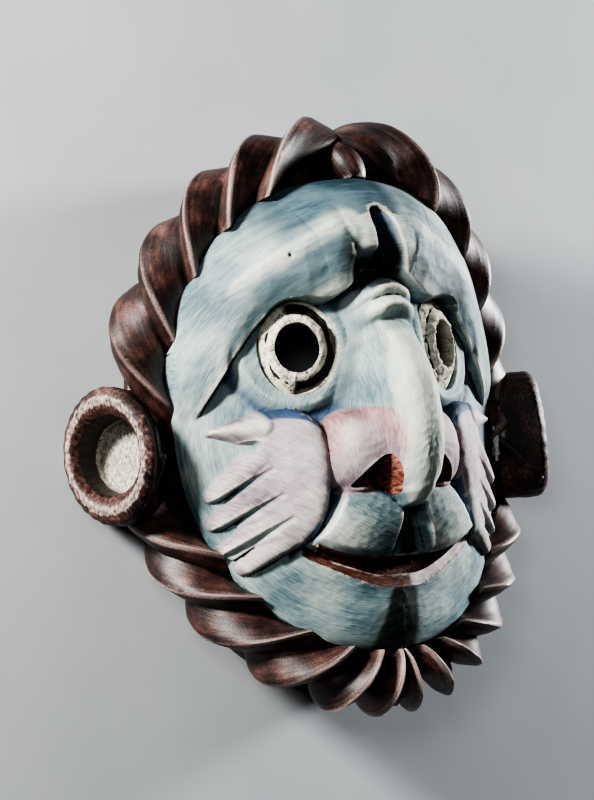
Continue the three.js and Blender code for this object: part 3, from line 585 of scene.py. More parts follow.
WREATH_HALF_WIDTH, WREATH_HALF_HEIGHT = 121.0, 156.0
WREATH_SIDE_Z = 12.0
WREATH_RISE_TOP, WREATH_RISE_CHIN = 56, 48
WREATH_CORE_RADIUS = 10.5
STRAND_OFFSET = 11.0
STRAND_HALF_THICKNESS = 17.5
STRAND_RUN = 74.0
STRAND_FIRST_TURN, STRAND_LAST_TURN = math.radians(-62), math.radians(178)
STRAND_OUTER_TURN = math.radians(12)
STRAND_FLATS = 9
# Width along the wreath of each strand, from forehead to ear and from ear to chin
RIGHT_STRANDS = {"above": [29, 36, 38, 44, 46], "ear": 71, "below": [34, 35, 38, 35, 28, 17]}
LEFT_STRANDS = {"above": [45, 46, 41, 45, 50], "ear": 50, "below": [33, 32, 34, 29, 26, 20]}
strand_height = curve([
    (0, 0.45), (0.1, 0.8), (0.25, 1), (0.5, 1), (0.65, 0.92), (0.8, 0.7), (0.92, 0.42), (1, 0.12)])
strand_breadth = curve([
    (0, 0.45), (0.1, 0.8), (0.25, 1), (0.38, 0.97), (0.52, 0.78), (0.68, 0.58), (0.85, 0.36), (1, 0.12)])


def wreath_point(angle, side):
    s = np.sin(angle)
    rise = np.where(s > 0, WREATH_RISE_TOP, WREATH_RISE_CHIN) * s * s
    x = side * (WREATH_HALF_WIDTH + 4 * s) * np.cos(angle)
    return np.stack([x, (WREATH_HALF_HEIGHT + 1.5 * s) * s, WREATH_SIDE_Z + rise], -1)


def rounded_end(share):
    """From 0 at an end to 1 inside it, as a quarter circle."""
    return np.sqrt(clamp(1 - (1 - clamp(share, 0, 1)) ** 2, 0, 1))


def unit(vectors):
    return vectors / np.linalg.norm(vectors, axis=-1, keepdims=True)


class WreathLine:
    """The wreath's centre line down one side, by length from the forehead."""

    def __init__(self, side):
        self.points = wreath_point(np.linspace(math.pi / 2, -math.pi / 2, 361), side)
        steps = np.linalg.norm(np.diff(self.points, axis=0), axis=1)
        self.lengths = np.concatenate([[0], np.cumsum(steps)])
        self.total = self.lengths[-1]

    def at(self, length):
        def along(s):
            s = clamp(s, 0, self.total)
            return np.stack([np.interp(s, self.lengths, self.points[:, c]) for c in range(3)], -1)
        inside = clamp(length, 0, self.total)
        tangent = unit(along(inside + 1.5) - along(inside - 1.5))
        centre = along(length) + tangent * (length - inside)[..., None]
        forward = unit(np.array([0, 0, 1.0]) - tangent * tangent[..., 2:])
        outward = centre * np.array([1, 1, 0])
        for axis in (tangent, forward):
            outward = outward - axis * np.sum(outward * axis, -1, keepdims=True)
        return centre, forward, unit(outward)


def strand(line, start, width, seed):
    """One fat strand that comes over the outside of the wreath and winds in to a pointed tail."""
    run = STRAND_RUN * float(smooth(line.total + 30, line.total - 120, start))
    onward = unit(line.at(np.array([start + 2.0]))[0] - line.at(np.array([start - 2.0]))[0])
    # above the ears the edge of each strand lies towards its neighbour below
    lean = 0.45 if start < line.total / 2 else 0.12

    def middle(t):
        turn = mix(STRAND_FIRST_TURN, STRAND_LAST_TURN, t)
        along = start + run * (turn - STRAND_OUTER_TURN) / (STRAND_LAST_TURN - STRAND_OUTER_TURN)
        along = np.minimum(along, line.total - 1 + 0.05 * (along - line.total))
        centre, forward, outward = line.at(along)
        radial = outward * np.cos(turn)[..., None] + forward * np.sin(turn)[..., None]
        return centre + radial * (STRAND_OFFSET * mix(1, 0.62, smooth(0.72, 1, t)))[..., None], radial

    def shape(ball):
        t, a = sphere_shares(ball)
        centre, radial = middle(t)
        tangent = unit(middle(clamp(t + 0.02, 0, 1))[0] - middle(clamp(t - 0.02, 0, 1))[0])
        wide = unit(np.cross(radial, tangent))
        high = unit(np.cross(tangent, wide))
        ends = rounded_end(t / 0.07) * rounded_end((1 - t) / 0.06)
        half_width = (width * 0.33 + 1.6) * strand_breadth(t) * ends
        half_height = STRAND_HALF_THICKNESS * (0.95 + 0.0015 * width) * strand_height(t) * ends
        # long flat cuts of the knife along the strand, and small ones across them
        half_flat = math.pi / STRAND_FLATS
        slice_angle = np.mod(a + 0.5 * np.sin(5 * t + seed) + seed, 2 * half_flat) - half_flat
        facet = math.cos(half_flat) / np.cos(slice_angle)
        dent = tool_cuts(t * 118, a * 15 + 40, 13, 6.5, seed)
        grow = mix(1.0, facet, 0.5)
        cut = 0.42 * (dent - 0.45) * np.minimum(strand_breadth(t) * ends * 3, 1)
        # the section comes to an edge along its crest
        edged = 1.42 - 0.25 * smooth(0.1, -0.3, np.sin(a))
        c = np.sign(np.cos(a)) * np.abs(np.cos(a)) ** edged
        s = np.sign(np.sin(a)) * np.abs(np.sin(a)) ** edged
        out = c[:, None] * wide * (half_width * grow + cut)[:, None]
        out = out + s[:, None] * high * (half_height * grow + cut)[:, None]
        aside = lean * half_width * clamp(1.5 * np.sum(wide * onward, -1), -1, 1) * np.maximum(s, 0)
        return centre + out + wide * aside[:, None]

    piece = fresh(bpy.ops.mesh.primitive_uv_sphere_add, "strand", segments=36, ring_count=52, radius=1)
    reshape(piece, shape)
    return zone(piece, ROPE)


def strands(side, widths):
    line = WreathLine(side)
    made = []
    length = 0.0
    first_seed = 20 if side > 0 else 1
    for run, after in ((widths["above"], widths["ear"]), (widths["below"], 0)):
        for width in run:
            made.append(strand(line, length + width / 2, width, len(made) + first_seed))
            length += width
        length += after
    return made


def leaf(name, start, end, half_width, half_height, blunt=0.06, segments=20, rings=24, grooves=0.0):
    """A pointed leaf between two places, with grooves wound about it if wanted."""
    start, end = np.array(start, float), np.array(end, float)
    along = unit(end - start)
    wide = unit(np.cross([0, 0, 1.0], along))
    high = unit(np.cross(along, wide))

    def shape(ball):
        t, a = sphere_shares(ball)
        swell = np.sqrt(np.sin(math.pi * mix(blunt, 1 - blunt, t)))
        swell = swell * rounded_end(np.minimum(t, 1 - t) / 0.05)
        swell = swell * (1 - grooves * (0.5 + 0.5 * np.cos(3 * a + 34 * t)))
        out = np.cos(a)[:, None] * wide * (half_width * swell)[:, None]
        out = out + np.sin(a)[:, None] * high * (half_height * swell)[:, None]
        return start + (end - start) * t[:, None] + out

    piece = fresh(bpy.ops.mesh.primitive_uv_sphere_add, name, segments=segments, ring_count=rings, radius=1)
    reshape(piece, shape)
    return piece


def wreath_core():
    """The round bar that the strands wind about."""
    piece = fresh(bpy.ops.mesh.primitive_torus_add, "core", major_segments=132, minor_segments=20,
                  major_radius=1, minor_radius=0.25)

    def shape(ring):
        turn = np.arctan2(ring[:, 1], ring[:, 0])
        a = np.arctan2(ring[:, 2], np.hypot(ring[:, 0], ring[:, 1]) - 1)
        centre = wreath_point(np.arcsin(clamp(np.sin(turn), -1, 1)), np.where(np.cos(turn) >= 0, 1, -1))
        outward = unit(centre * np.array([WREATH_HALF_WIDTH ** -2, WREATH_HALF_HEIGHT ** -2, 0]))
        grown = WREATH_CORE_RADIUS * np.cos(a)[:, None]
        return centre + outward * grown + np.array([0, 0, 1.0]) * (WREATH_CORE_RADIUS * np.sin(a))[:, None]

    reshape(piece, shape)
    return zone(piece, ROPE)


WALL_OUTSIDE_WREATH = 7


def back_wall():
    """The plain wall behind the wreath and the wood that joins it to the plate's edge."""
    piece = fresh(bpy.ops.mesh.primitive_uv_sphere_add, "wall", segments=168, ring_count=5, radius=1)

    def shape(ball):
        share, turn = sphere_shares(ball)
        row = np.rint((1 - share) * 5).astype(int)
        side = np.where(np.cos(turn) >= 0, 1, -1)
        centre = wreath_point(np.arcsin(clamp(np.sin(turn), -1, 1)), side)
        reach = 1 + WALL_OUTSIDE_WREATH / np.hypot(centre[:, 0], centre[:, 1])
        edge_y = PLATE_HALF_HEIGHT * 0.97 * np.sin(turn)
        edge = np.stack([side * plate_edge_x(edge_y) * 0.97, edge_y, plate_edge_z(edge_y) - 2], 1)
        flat = np.array([1, 1, 0.0])
        lift = np.array([0, 0, 1.0])
        rows = [
            centre * 0,
            centre * flat * reach[:, None],
            centre * flat * (reach - 0.01)[:, None] + centre * lift,
            centre * flat * 0.985 + (centre + WREATH_CORE_RADIUS - 3) * lift,
            edge,
            centre * 0 + lift * 60]
        out = np.zeros_like(ball)
        for k, places_in_row in enumerate(rows):
            out[row == k] = places_in_row[row == k]
        return out

    reshape(piece, shape)
    return zone(piece, BARE)


HOLLOW_HALF_WIDTH, HOLLOW_TOP, HOLLOW_CHIN = 107.0, 144.0, 137.0
NOSE_HOLLOW = 20.0
HOLLOW_RIM_SHARE = 0.82
hollow_height = curve([(-137, 60), (-97, 65), (-55, 80), (0, 83), (60, 82), (100, 79), (144, 68)])


def hollow():
    """What the wearer's face goes into, left rough from a curved adze."""
    piece = fresh(bpy.ops.mesh.primitive_uv_sphere_add, "hollow", segments=160, ring_count=90, radius=1)

    def shape(ball):
        share, a = sphere_shares(ball)
        r = np.sin(math.pi / 2 * np.minimum(share / HOLLOW_RIM_SHARE, 1))
        closing = share > HOLLOW_RIM_SHARE + 0.001
        reach = r * (np.abs(np.cos(a)) ** 2.3 + np.abs(np.sin(a)) ** 2.3) ** (-1 / 2.3)
        top = np.where(a >= 0, HOLLOW_TOP, HOLLOW_CHIN)
        x = reach * HOLLOW_HALF_WIDTH * np.cos(a)
        y = reach * top * np.sin(a)
        across = np.abs(x / HOLLOW_HALF_WIDTH) ** 2.2
        up = np.abs(y / top) ** 3.6
        dome = hollow_height(y) * np.maximum(1 - across - up, 0) ** 0.45
        nose = NOSE_HOLLOW * bell(x, 15) * smooth(-50, -30, y) * smooth(45, 15, y)
        z = np.maximum(dome + nose, 2 * (1 - r))
        z = z - 1.1 * (tool_cuts(x + 0.3 * y, y, 13, 17, 5)) * smooth(1, 0.86, r)
        fall = (share - HOLLOW_RIM_SHARE) / (1 - HOLLOW_RIM_SHARE)
        shrink = np.where(closing, 1 - fall, 1)
        return np.stack([x * shrink, y * shrink, np.where(closing, -5.0, z)], 1)

    reshape(piece, shape)
    return zone(piece, BARE)


# Cutters for the eyes, nostrils and mouth

def eye_turn(side):
    c, s = math.cos(side * EYE_OUTWARD_TURN), math.sin(side * EYE_OUTWARD_TURN)
    return np.array([[c, 0, s], [0, 1, 0], [-s, 0, c]])


def in_eye(places_there, side):
    return places_there @ eye_turn(side).T + np.array([side * EYE_X, EYE_Y, EYE_SURFACE_Z])


def eye_cylinder(side, half_width, half_height, start, end, index, ragged=0.0):
    piece = fresh(bpy.ops.mesh.primitive_cylinder_add, "eye_cut", vertices=96, radius=1, depth=2)

    def shape(tube):
        a = np.arctan2(tube[:, 1], tube[:, 0])
        rough = 1 + ragged * (np.sin(7 * a + side) * 0.5 + np.sin(13 * a + 2) * 0.35 + np.sin(29 * a) * 0.3)
        x, y = tube[:, 0] * half_width * rough, tube[:, 1] * half_height * rough
        return in_eye(np.stack([x, y, mix(start, end, (tube[:, 2] + 1) / 2)], 1), side)

    reshape(piece, shape)
    return zone(piece, index)


EYE_DOME_SHARE = 0.75


def eye_ball(side):
    """The chalky ring: a low dome that fills the socket, rough under the brush."""
    piece = fresh(bpy.ops.mesh.primitive_uv_sphere_add, "eye_ball", segments=160, ring_count=96, radius=1)

    def shape(ball):
        share, a = sphere_shares(ball)
        on_dome = share < EYE_DOME_SHARE
        b = clamp(1 - share / EYE_DOME_SHARE, 0, 1) * math.pi / 2
        r = np.where(on_dome, np.cos(b) ** 0.9, 1 - (share - EYE_DOME_SHARE) / (1 - EYE_DOME_SHARE))
        z = np.where(on_dome, EYE_BULGE * np.sin(b) ** 0.9, -1.5)
        z = z - 1.5 * bell(r - 0.79, 0.11) * on_dome
        pits = tool_cuts(a * 16, r * 16, 2.6, 1.9, 31 + side)
        lumps = tool_cuts(a * 16 + 3, r * 22, 6.5, 4.5, 51 + side)
        rough = (1.2 * (pits - 0.5) + 1.9 * (lumps - 0.5)) * smooth(1.0, 0.96, r) * on_dome
        # a worn trough along the nose's side of the right eye
        wavy = r + 0.03 * np.sin(5 * a + 1) + 0.02 * np.sin(11 * a)
        trough = bell(wavy - 0.83, 0.08) * smooth(-0.55, 0.05, np.cos(a)) * (side < 0)
        z = z - 3.2 * trough * on_dome
        x = r * np.cos(a) * (EYE_HALF_WIDTH + 0.3)
        y = r * np.sin(a) * (EYE_HALF_HEIGHT + 0.3)
        return in_eye(np.stack([x, y, z + rough + 0.5 - EYE_SOCKET_DEPTH], 1), side)

    reshape(piece, shape)
    return zone(piece, CHALK)


def prism(name, front, back, index):
    """A closed cutter between two outlines of as many points."""
    count = len(front)
    piece = fresh(bpy.ops.mesh.primitive_cylinder_add, name, vertices=count, radius=1, depth=2)
    at = places(piece)
    turn = np.mod(np.arctan2(at[:, 0], at[:, 1]), 2 * math.pi)
    corner = np.rint(turn / (2 * math.pi / count)).astype(int) % count
    front, back = np.array(front, float), np.array(back, float)
    reshape(piece, lambda tube: np.where((tube[:, 2] > 0)[:, None], front[corner], back[corner]))
    return zone(piece, index)


def over_plate():
    """The air over the plate, as far as its edge: the strands' tails end there."""
    piece = fresh(bpy.ops.mesh.primitive_cylinder_add, "over_plate", vertices=360, radius=1, depth=2,
                  end_fill_type="TRIFAN")

    def shape(tube):
        y = tube[:, 1] * PLATE_HALF_HEIGHT * 1.003
        out = np.hypot(tube[:, 0], tube[:, 1])
        x = np.sign(tube[:, 0]) * (plate_edge_x(y) + 0.5) * (np.abs(tube[:, 0]) > 1e-4)
        low = np.where(out > 0.5, plate_edge_z(y) - 2, 50)
        return np.stack([x, y, np.where(tube[:, 2] > 0, 150, low)], 1)

    reshape(piece, shape)
    return zone(piece, ROPE)


NOSTRIL = [
    (37, -47.5), (34, -42), (28, -36), (21, -31), (17, -31), (14.5, -36), (12, -45), (10, -54),
    (16, -50.5), (26, -48.5)]


def nostril(side):
    line = spline(NOSTRIL, 6, closed=True)
    front = [(side * x, y, 150) for x, y in line]
    back = [(side * (x * 0.9 + 2), y + 1, 98 - 0.55 * (y + 50)) for x, y in line]
    return prism("nostril", front, back, CUT)


MOUTH_HALF_WIDTH, MOUTH_DEPTH = 55.0, 10.0
MOUTH_STEPS = 44
MOUTH_PAST_LIPS = 1.1


def mouth():
    xs = np.linspace(-MOUTH_HALF_WIDTH, MOUTH_HALF_WIDTH, MOUTH_STEPS + 1)
    upper = [(x, float(upper_lip_edge(abs(x))) + MOUTH_PAST_LIPS) for x in xs]
    lower = [(x, float(lower_lip_top(abs(x))) - MOUTH_PAST_LIPS) for x in xs[-2:0:-1]]
    line = upper + lower
    front = [(x, y, 125) for x, y in line]
    back = []
    for x, y in line:
        deep = MOUTH_DEPTH * float(smooth(MOUTH_HALF_WIDTH + 8, 30, abs(x)))
        back.append((x * 0.97, y, float(cheek_surface(x, y)) - deep - 3))
    return prism("mouth", front, back, CUT)


def mouth_slit():
    piece = fresh(bpy.ops.mesh.primitive_cube_add, "slit", size=2)
    reshape(piece, lambda cube: cube * np.array([17, 2.2, 35]) + np.array([0, -91.2, 60]))
    return zone(piece, CUT)


def under(height):
    """All that lies lower than a height over the ground."""
    piece = fresh(bpy.ops.mesh.primitive_cube_add, "under", size=2)
    low, high = np.array([-250, -250, -90.0]), np.array([250, 250, height])
    reshape(piece, lambda cube: (low + high) / 2 + cube * (high - low) / 2)
    return piece


# Ears, nail and cord

EAR_X, EAR_Y, EAR_Z = 159.5, -13.0, 31.0
EAR_TURN, EAR_LEAN = math.radians(61), math.radians(-4)
EAR_SEAT_DEPTH = 34.5
EAR_WELL_HALF_WIDTH, EAR_WELL_HALF_HEIGHT = 22.0, 23.5
EAR_OFF_GROUND = 0.8
SEAM = 0.4
# Half width, half height and place along the ear's axis, from the head over the rim to the cup's floor
EAR_LOOPS = [
    (0, 0, -34.5), (9, 30, -34.5), (17.3, 40.3, -34.5), (17.5, 40.5, -34.3), (25, 41.5, -18),
    (29.5, 41.5, -10), (32, 41, -5.5), (30.5, 38.5, -2), (27, 34, 0), (24.5, 29, -0.8), (23, 25.5, -3.5),
    (22, 23.5, -7), (21.5, 22.5, -16), (20.2, 21.7, -25.4), (18.5, 20, -26), (9, 10, -26.4), (0, 0, -26)]


def ear_matrix(side):
    def about_y(v):
        return np.array([[math.cos(v), 0, math.sin(v)], [0, 1, 0], [-math.sin(v), 0, math.cos(v)]])

    def about_z(v):
        return np.array([[math.cos(v), -math.sin(v), 0], [math.sin(v), math.cos(v), 0], [0, 0, 1]])
    return about_y(side * EAR_TURN) @ about_z(side * EAR_LEAN)


def from_ear(places_there, side):
    return places_there @ ear_matrix(side).T + np.array([side * EAR_X, EAR_Y, EAR_Z])


def to_ear(world, side):
    return (world - np.array([side * EAR_X, EAR_Y, EAR_Z])) @ ear_matrix(side)


def ear_cup(side, grow, marks):
    piece = fresh(bpy.ops.mesh.primitive_uv_sphere_add, "ear", segments=128, ring_count=110, radius=1)
    line = spline(EAR_LOOPS, 8)
    lengths = np.concatenate([[0], np.cumsum(np.linalg.norm(np.diff(line, axis=0), axis=1))])

    def shape(ball):
        share, a = sphere_shares(ball)
        at = share * lengths[-1]
        half_width, half_height, along = (np.interp(at, lengths, line[:, c]) for c in range(3))
        dent = tool_cuts(a * 34, at, 6.5, 9, 40 + side)
        slope = smooth(64, 70, at) * smooth(118, 108, at)
        cut = marks * (0.42 * (dent - 0.45) + 0.25 * slope * np.cos(a * 26 + 2 * np.sin(3 * a)))
        cut = cut * smooth(0, 12, half_width)
        edge = smooth(0, 8, half_width)
        x = (half_width + (grow + cut) * edge) * np.cos(a)
        y = (half_height + (grow + cut) * edge) * np.sin(a)
        z = along - grow * (along < -EAR_SEAT_DEPTH + 0.01) + cut * 0.5 * (along > -30)
        return from_ear(np.stack([x, y, z], 1), side)

    reshape(piece, shape)
    return piece


def ear_ridge(side, grow):
    start, end = (side * 121, -14, 31), (side * 147, -47, 44)
    return leaf("ridge", start, end, 4 + grow, 8 + grow, segments=12, rings=20)


def nail_pin(grow):
    return leaf("pin", (-126, -19, 42.5), (-116, -18, 30), 0.9 + grow, 0.9 + grow, blunt=0.2)


CORD_RADIUS = 1.3
CORD_GROOVES = 0.28
CORD_TURNS = [
    ((118.2, -8, 36.4), (120.2, -22, 36.4)),
    ((120.4, -13, 37), (118.4, -31, 35.6)),
    ((117.8, -15, 36), (120.4, -27, 36))]


def cord(grow, grooves):
    made = [leaf("turn", start, end, CORD_RADIUS + grow, CORD_RADIUS + grow, 0.2, 24, 60, grooves)
            for start, end in CORD_TURNS]
    return combine(made[0], "UNION", made[1:])


# The block: face, hands and wreath in one piece of wood

def make_block():
    core = wreath_core()
    parts = [back_wall(), *strands(-1, RIGHT_STRANDS), *strands(1, LEFT_STRANDS)]
    parts.append(zone(leaf("knot", (-4, 166, 72), (6, 140, 82), 10, 10), ROPE))
    parts.append(zone(leaf("tail", (2, -176, 58), (1, -141, 74), 6, 10), ROPE))
    block = combine(core, "UNION", parts)
    for side in (-1, 1):
        seat = combine(ear_cup(side, SEAM, 0.0), "UNION", [ear_ridge(side, SEAM)])
        combine(block, "DIFFERENCE", [zone(seat, ROPE)])
    combine(block, "DIFFERENCE", [over_plate()])
    combine(block, "UNION", [plate()])
    combine(block, "DIFFERENCE", [hollow(), zone(under(0), BARE)])
    for side in (-1, 1):
        socket = eye_cylinder(side, EYE_HALF_WIDTH, EYE_HALF_HEIGHT, -EYE_SOCKET_DEPTH, 40, PAINT)
        combine(block, "DIFFERENCE", [socket])
        combine(block, "UNION", [eye_ball(side)])
        pupil = eye_cylinder(side, PUPIL_HALF_WIDTH, PUPIL_HALF_HEIGHT, -60, 40, CHALK, ragged=0.012)
        combine(block, "DIFFERENCE", [pupil, nostril(side)])
    combine(block, "DIFFERENCE", [
        mouth(), mouth_slit(), zone(nail_pin(SEAM), CUT), zone(cord(SEAM, 0.0), BARE)])
    return block


# Measures of the finished meshes that the paint follows

def edge_ends(piece):
    ends = np.empty(len(piece.data.edges) * 2, dtype=np.int32)
    piece.data.edges.foreach_get("vertices", ends)
    return ends.reshape(-1, 2).T


def normals(piece):
    flat = np.empty(len(piece.data.vertices) * 3)
    piece.data.vertices.foreach_get("normal", flat)
    return flat.reshape(-1, 3)


def spread(values, ends, rounds):
    """Values at the vertices, evened out with their neighbours' again and again."""
    a, b = ends
    count = neighbours(ends, len(values))
    for _ in range(rounds):
        near = np.bincount(a, values[b], len(values)) + np.bincount(b, values[a], len(values))
        values = 0.5 * values + 0.5 * near / count
    return values


def neighbours(ends, total):
    a, b = ends
    return np.maximum(np.bincount(a, minlength=total) + np.bincount(b, minlength=total), 1)


def bulge(piece, ends):
    """How much the surface bulges, or is hollow where negative, per millimetre."""
    a, b = ends
    at, out = places(piece) / MM, normals(piece)
    step = at[b] - at[a]
    turn = np.sum((out[b] - out[a]) * step, 1) / np.maximum(np.sum(step * step, 1), 0.01)
    turn = clamp(turn, -1.5, 1.5)
    return (np.bincount(a, turn, len(at)) + np.bincount(b, turn, len(at))) / neighbours(ends, len(at))


def keep(piece, name, values):
    """Keep a number or a vector at each vertex for the materials."""
    kind, slot = ("FLOAT", "value") if values.ndim == 1 else ("FLOAT_VECTOR", "vector")
    data = piece.data.attributes.new(name, kind, "POINT").data
    data.foreach_set(slot, values.astype(np.float32).ravel())


def blurred(field, radius):
    fy = np.fft.fftfreq(field.shape[0])[:, None]
    fx = np.fft.rfftfreq(field.shape[1])[None]
    weight = np.exp(-2 * (math.pi * radius) ** 2 * (fx * fx + fy * fy))
    return np.fft.irfft2(np.fft.rfft2(field) * weight, s=field.shape)


def height_over_mean(x, y, radius):
    """How far the carving stands over the mean of what lies round it."""
    xs, ys = np.arange(-122, 123.0), np.arange(-148, 149.0)
    grid_x, grid_y = np.meshgrid(xs, ys)
    field = front_surface(grid_x, grid_y)
    field = field - blurred(field, radius)
    u, v = clamp(x - xs[0], 0, len(xs) - 1.001), clamp(y - ys[0], 0, len(ys) - 1.001)
    i, j = u.astype(int), v.astype(int)
    u, v = u - i, v - j
    low = field[j, i] * (1 - u) + field[j, i + 1] * u
    high = field[j + 1, i] * (1 - u) + field[j + 1, i + 1] * u
    return low * (1 - v) + high * v


def keep_wear(piece, rubbed=1.0):
    """Worn crests, and grime with painted shade in the hollows, from the shape itself."""
    ends = edge_ends(piece)
    bent = spread(bulge(piece, ends), ends, 2)
    wide = spread(bent, ends, 14)
    keep(piece, "crest", rubbed * (smooth(0.03, 0.30, bent) * 0.65 + smooth(0.03, 0.14, wide) * 0.4))
    # darker in the hollows: grime and painted shade
    keep(piece, "pool", clamp(smooth(-0.02, -0.30, bent) * 0.6 + smooth(-0.01, -0.10, wide) * 0.7, 0, 1))


def frown_cleft(x, y):
    """1 in the cleft between the brows, and 0 on the tongue of wood that stands in it."""
    cleft = smooth(0.05, 0.6, 1 - np.abs(x + 1) / frown_width(y)) * smooth(62, 72, y) * smooth(122, 117, y)
    return cleft * (1 - smooth(-1, -7.5, x) * smooth(85, 93, y)) * smooth(17, 9, x)


def lip_valley(x, y):
    """1 in the valley between the two pads of the upper lip."""
    half_width = mix(5, 9, smooth(-60, -86, y))
    return smooth(1.0, 0.4, np.abs(x - 3) / half_width) * smooth(-60, -70, y) * (y > -93)


def keep_hands_and_wings(piece, x, y):
    rise, groove = hand_shape(x, y)
    r, qx, qy = palm_share(x, y)
    hand = smooth(0.3, 1.4, rise)
    # the steep side of the hand's heel is the face's blue, carried up it and darkened as painted shade, and
    # the gaps between the fingers get painted shade too
    flank = smooth(0.80, 0.90, r) * smooth(-4, 8, qx + 0.35 * qy) * hand
    gap = smooth(0.8, 3.2, groove)
    wing = smooth(1.12, 1.02, wing_share(x, y))
    keep(piece, "mauve", clamp(np.maximum(hand * (1 - flank) * (1 - 0.85 * gap), wing), 0, 1))
    # painted shade on the nostril's wing: rosy and darker round its rim, most towards the top, and a little
    # over all of it, so the middle stays palest
    blush = smooth(0.45, 0.9, wing_share(x, y)) * wing * smooth(-38, -10, y) + 0.35 * wing
    keep(piece, "blush", clamp(blush, 0, 1))
    return hand, flank * 0.9 * (1 - wing) + 0.3 * gap * hand, wing


def keep_heights(piece, x, y, hand_blue, wing):
    """Deep blue paint and painted shade in the hollows, cream on what stands up with a painted highlight
    along the brows' ridge, and a forehead over that ridge darkened by dark blue paint and painted shade.
    """
    across = np.abs(x)
    near = height_over_mean(x, y, 8)
    wide = height_over_mean(x, y, 20)
    # darker in the hollows, grooves and the frown: deep blue paint and painted shade
    low = (smooth(-2.5, -8, near) * 0.6 + smooth(-6, -16, wide) * 0.4) * (1 - wing)
    eye, angle, _ = eye_share(x, y)
    lid_groove = bell(eye - 1.40, 0.13) * smooth(40, -10, angle) * smooth(-140, -100, angle)
    lip_groove = bell(lip_side(y) - across + 2.6, 2.4) * smooth(-40, -50, y) * smooth(-90, -78, y)
    deep = low + 0.55 * lid_groove + 0.7 * frown_cleft(x, y) + hand_blue + lip_groove
    keep(piece, "deep", clamp(deep, 0, 1))
    above, share = near_line(across, y, forehead_ridge)
    temple = smooth(0, 0.1, share) * smooth(1, 0.7, share)
    # a painted highlight along the forehead's ridge
    ridge = bell(above + 0.5, 3) * temple * 0.9
    keep(piece, "raised", clamp(smooth(0.8, 4.5, near) * 0.6 + smooth(2, 12, wide) * 0.4 + ridge, 0, 1))
    # dark blue paint and painted shade over the forehead and on the brows just under their ridge
    forehead = smooth(2, 12, above) * smooth(60, 25, np.abs(across - 20)) * (0.95 - 0.55 * smooth(8, 24, x))
    under_ridge = smooth(-3, -10, above) * smooth(-36, -24, above) * temple * 0.75
    keep(piece, "dusk", clamp(forehead + under_ridge, 0, 1))


def keep_lip_paint(piece, x, y):
    across = np.abs(x)
    down = down_lower_lip(across, y)
    lip = smooth(-0.1, 0.05, down) * smooth(1.12, 0.95, down) * smooth(62, 55, across)
    edge = bell(y - upper_lip_edge(across) - 0.6, 1.3) * smooth(58, 52, across)
    keep(piece, "rust", clamp(lip * smooth(12, 2, x) + edge, 0, 1))
    keep(piece, "pale_lip", lip * smooth(2, 12, x))


def keep_soot_and_painted_shade(piece, x, y, hand):
    # painted shadow: black down the chin's furrow, in the valley of the upper lip and in the frown's cleft,
    # and dark patches beside the frown and by the mouth's corner
    fall = clamp(-106 - y, 0, 37)
    streak = smooth(1.35, 0.75, np.abs(x - 1.5 + 0.16 * fall) / (8 + 0.2 * fall)) * smooth(-103, -109, y)
    stain_and_shade = 0.8 * bell(x + 25, 7) * bell(y - 91, 13) + 0.42 * bell(x + 16, 9) * smooth(-108, -118, y)
    valley = lip_valley(x, y)
    cleft = frown_cleft(x, y) * smooth(102, 92, y) * smooth(66, 74, y)
    keep(piece, "streak", np.maximum.reduce([streak * 0.95, stain_and_shade, valley * 0.8, cleft * 0.9]))
    ends = edge_ends(piece)
    # painted shade: black in the sharper creases, less on the hands
    crease = smooth(-0.10, -0.40, spread(bulge(piece, ends), ends, 2))
    keep(piece, "gutter", crease * (1 - 0.85 * hand) * (1 - valley))
    eye, angle, _ = eye_share(x, y)
    trough = smooth(55, 95, np.abs(angle)) * smooth(0.62, 0.72, eye) * smooth(0.98, 0.92, eye) * (x < 0)
    keep(piece, "soot", np.maximum(0.68 * trough, 0.38 * smooth(0.60, 0.72, eye) * smooth(0.97, 0.9, eye)))


def keep_strokes(piece, x, y, z, hand):
    """Strokes follow the round of the face, the fingers on the hands, and the length of the nose."""
    across = np.abs(x)
    along, out = np.arctan2(x, y + 20) * 90, np.hypot(x, y + 20)
    on_nose = smooth(1.0, 0.75, across / nose_half_width(y)) * smooth(84, 76, y) * smooth(-66, -58, y)
    along = mix(mix(along, y, on_nose), -0.77 * across - 0.62 * y, hand)
    out = mix(mix(out, x, on_nose), -0.62 * across + 0.77 * y, hand)
    keep(piece, "stroke", np.stack([along, out, z * 0.4], 1))


def keep_eye_depth(piece, x, y, z):
    """Depth behind the surface of the nearer eye, for painted shade on the walls of the pupil."""
    local = (np.stack([np.abs(x), y, z], 1) - np.array([EYE_X, EYE_Y, EYE_SURFACE_Z])) @ eye_turn(1)
    pupil = np.hypot(local[:, 0] / PUPIL_HALF_WIDTH, local[:, 1] / PUPIL_HALF_HEIGHT)
    keep(piece, "eye_depth", smooth(1.2, -0.5, local[:, 2]) * smooth(1.15, 1.06, pupil))


def keep_paint_zones(piece):
    x, y, z = (places(piece) / MM).T
    hand, hand_blue, wing = keep_hands_and_wings(piece, x, y)
    keep_heights(piece, x, y, hand_blue, wing)
    keep_lip_paint(piece, x, y)
    keep_soot_and_painted_shade(piece, x, y, hand)
    keep_strokes(piece, x, y, z, hand)
    keep_eye_depth(piece, x, y, z)


# Materials

def stroke_noise(tree, vector, stretch, detail=5.0, roughness=0.6, distortion=0.0):
    """Noise drawn out along brush strokes or grain; the stretch is in patterns per unit of each axis."""
    drawn = add(tree, "ShaderNodeVectorMath", {"operation": "MULTIPLY"}, {0: vector, 1: stretch}).outputs[0]
    return add(tree, "ShaderNodeTexNoise", {}, {
        "Vector": drawn, "Scale": 1.0, "Detail": detail, "Roughness": roughness,
        "Distortion": distortion}).outputs[0]


def speckle(tree, spot, per_mm, detail=3.0, roughness=0.6):
    """Noise as wide as it is long."""
    return stroke_noise(tree, spot, (per_mm, per_mm, per_mm), detail, roughness)


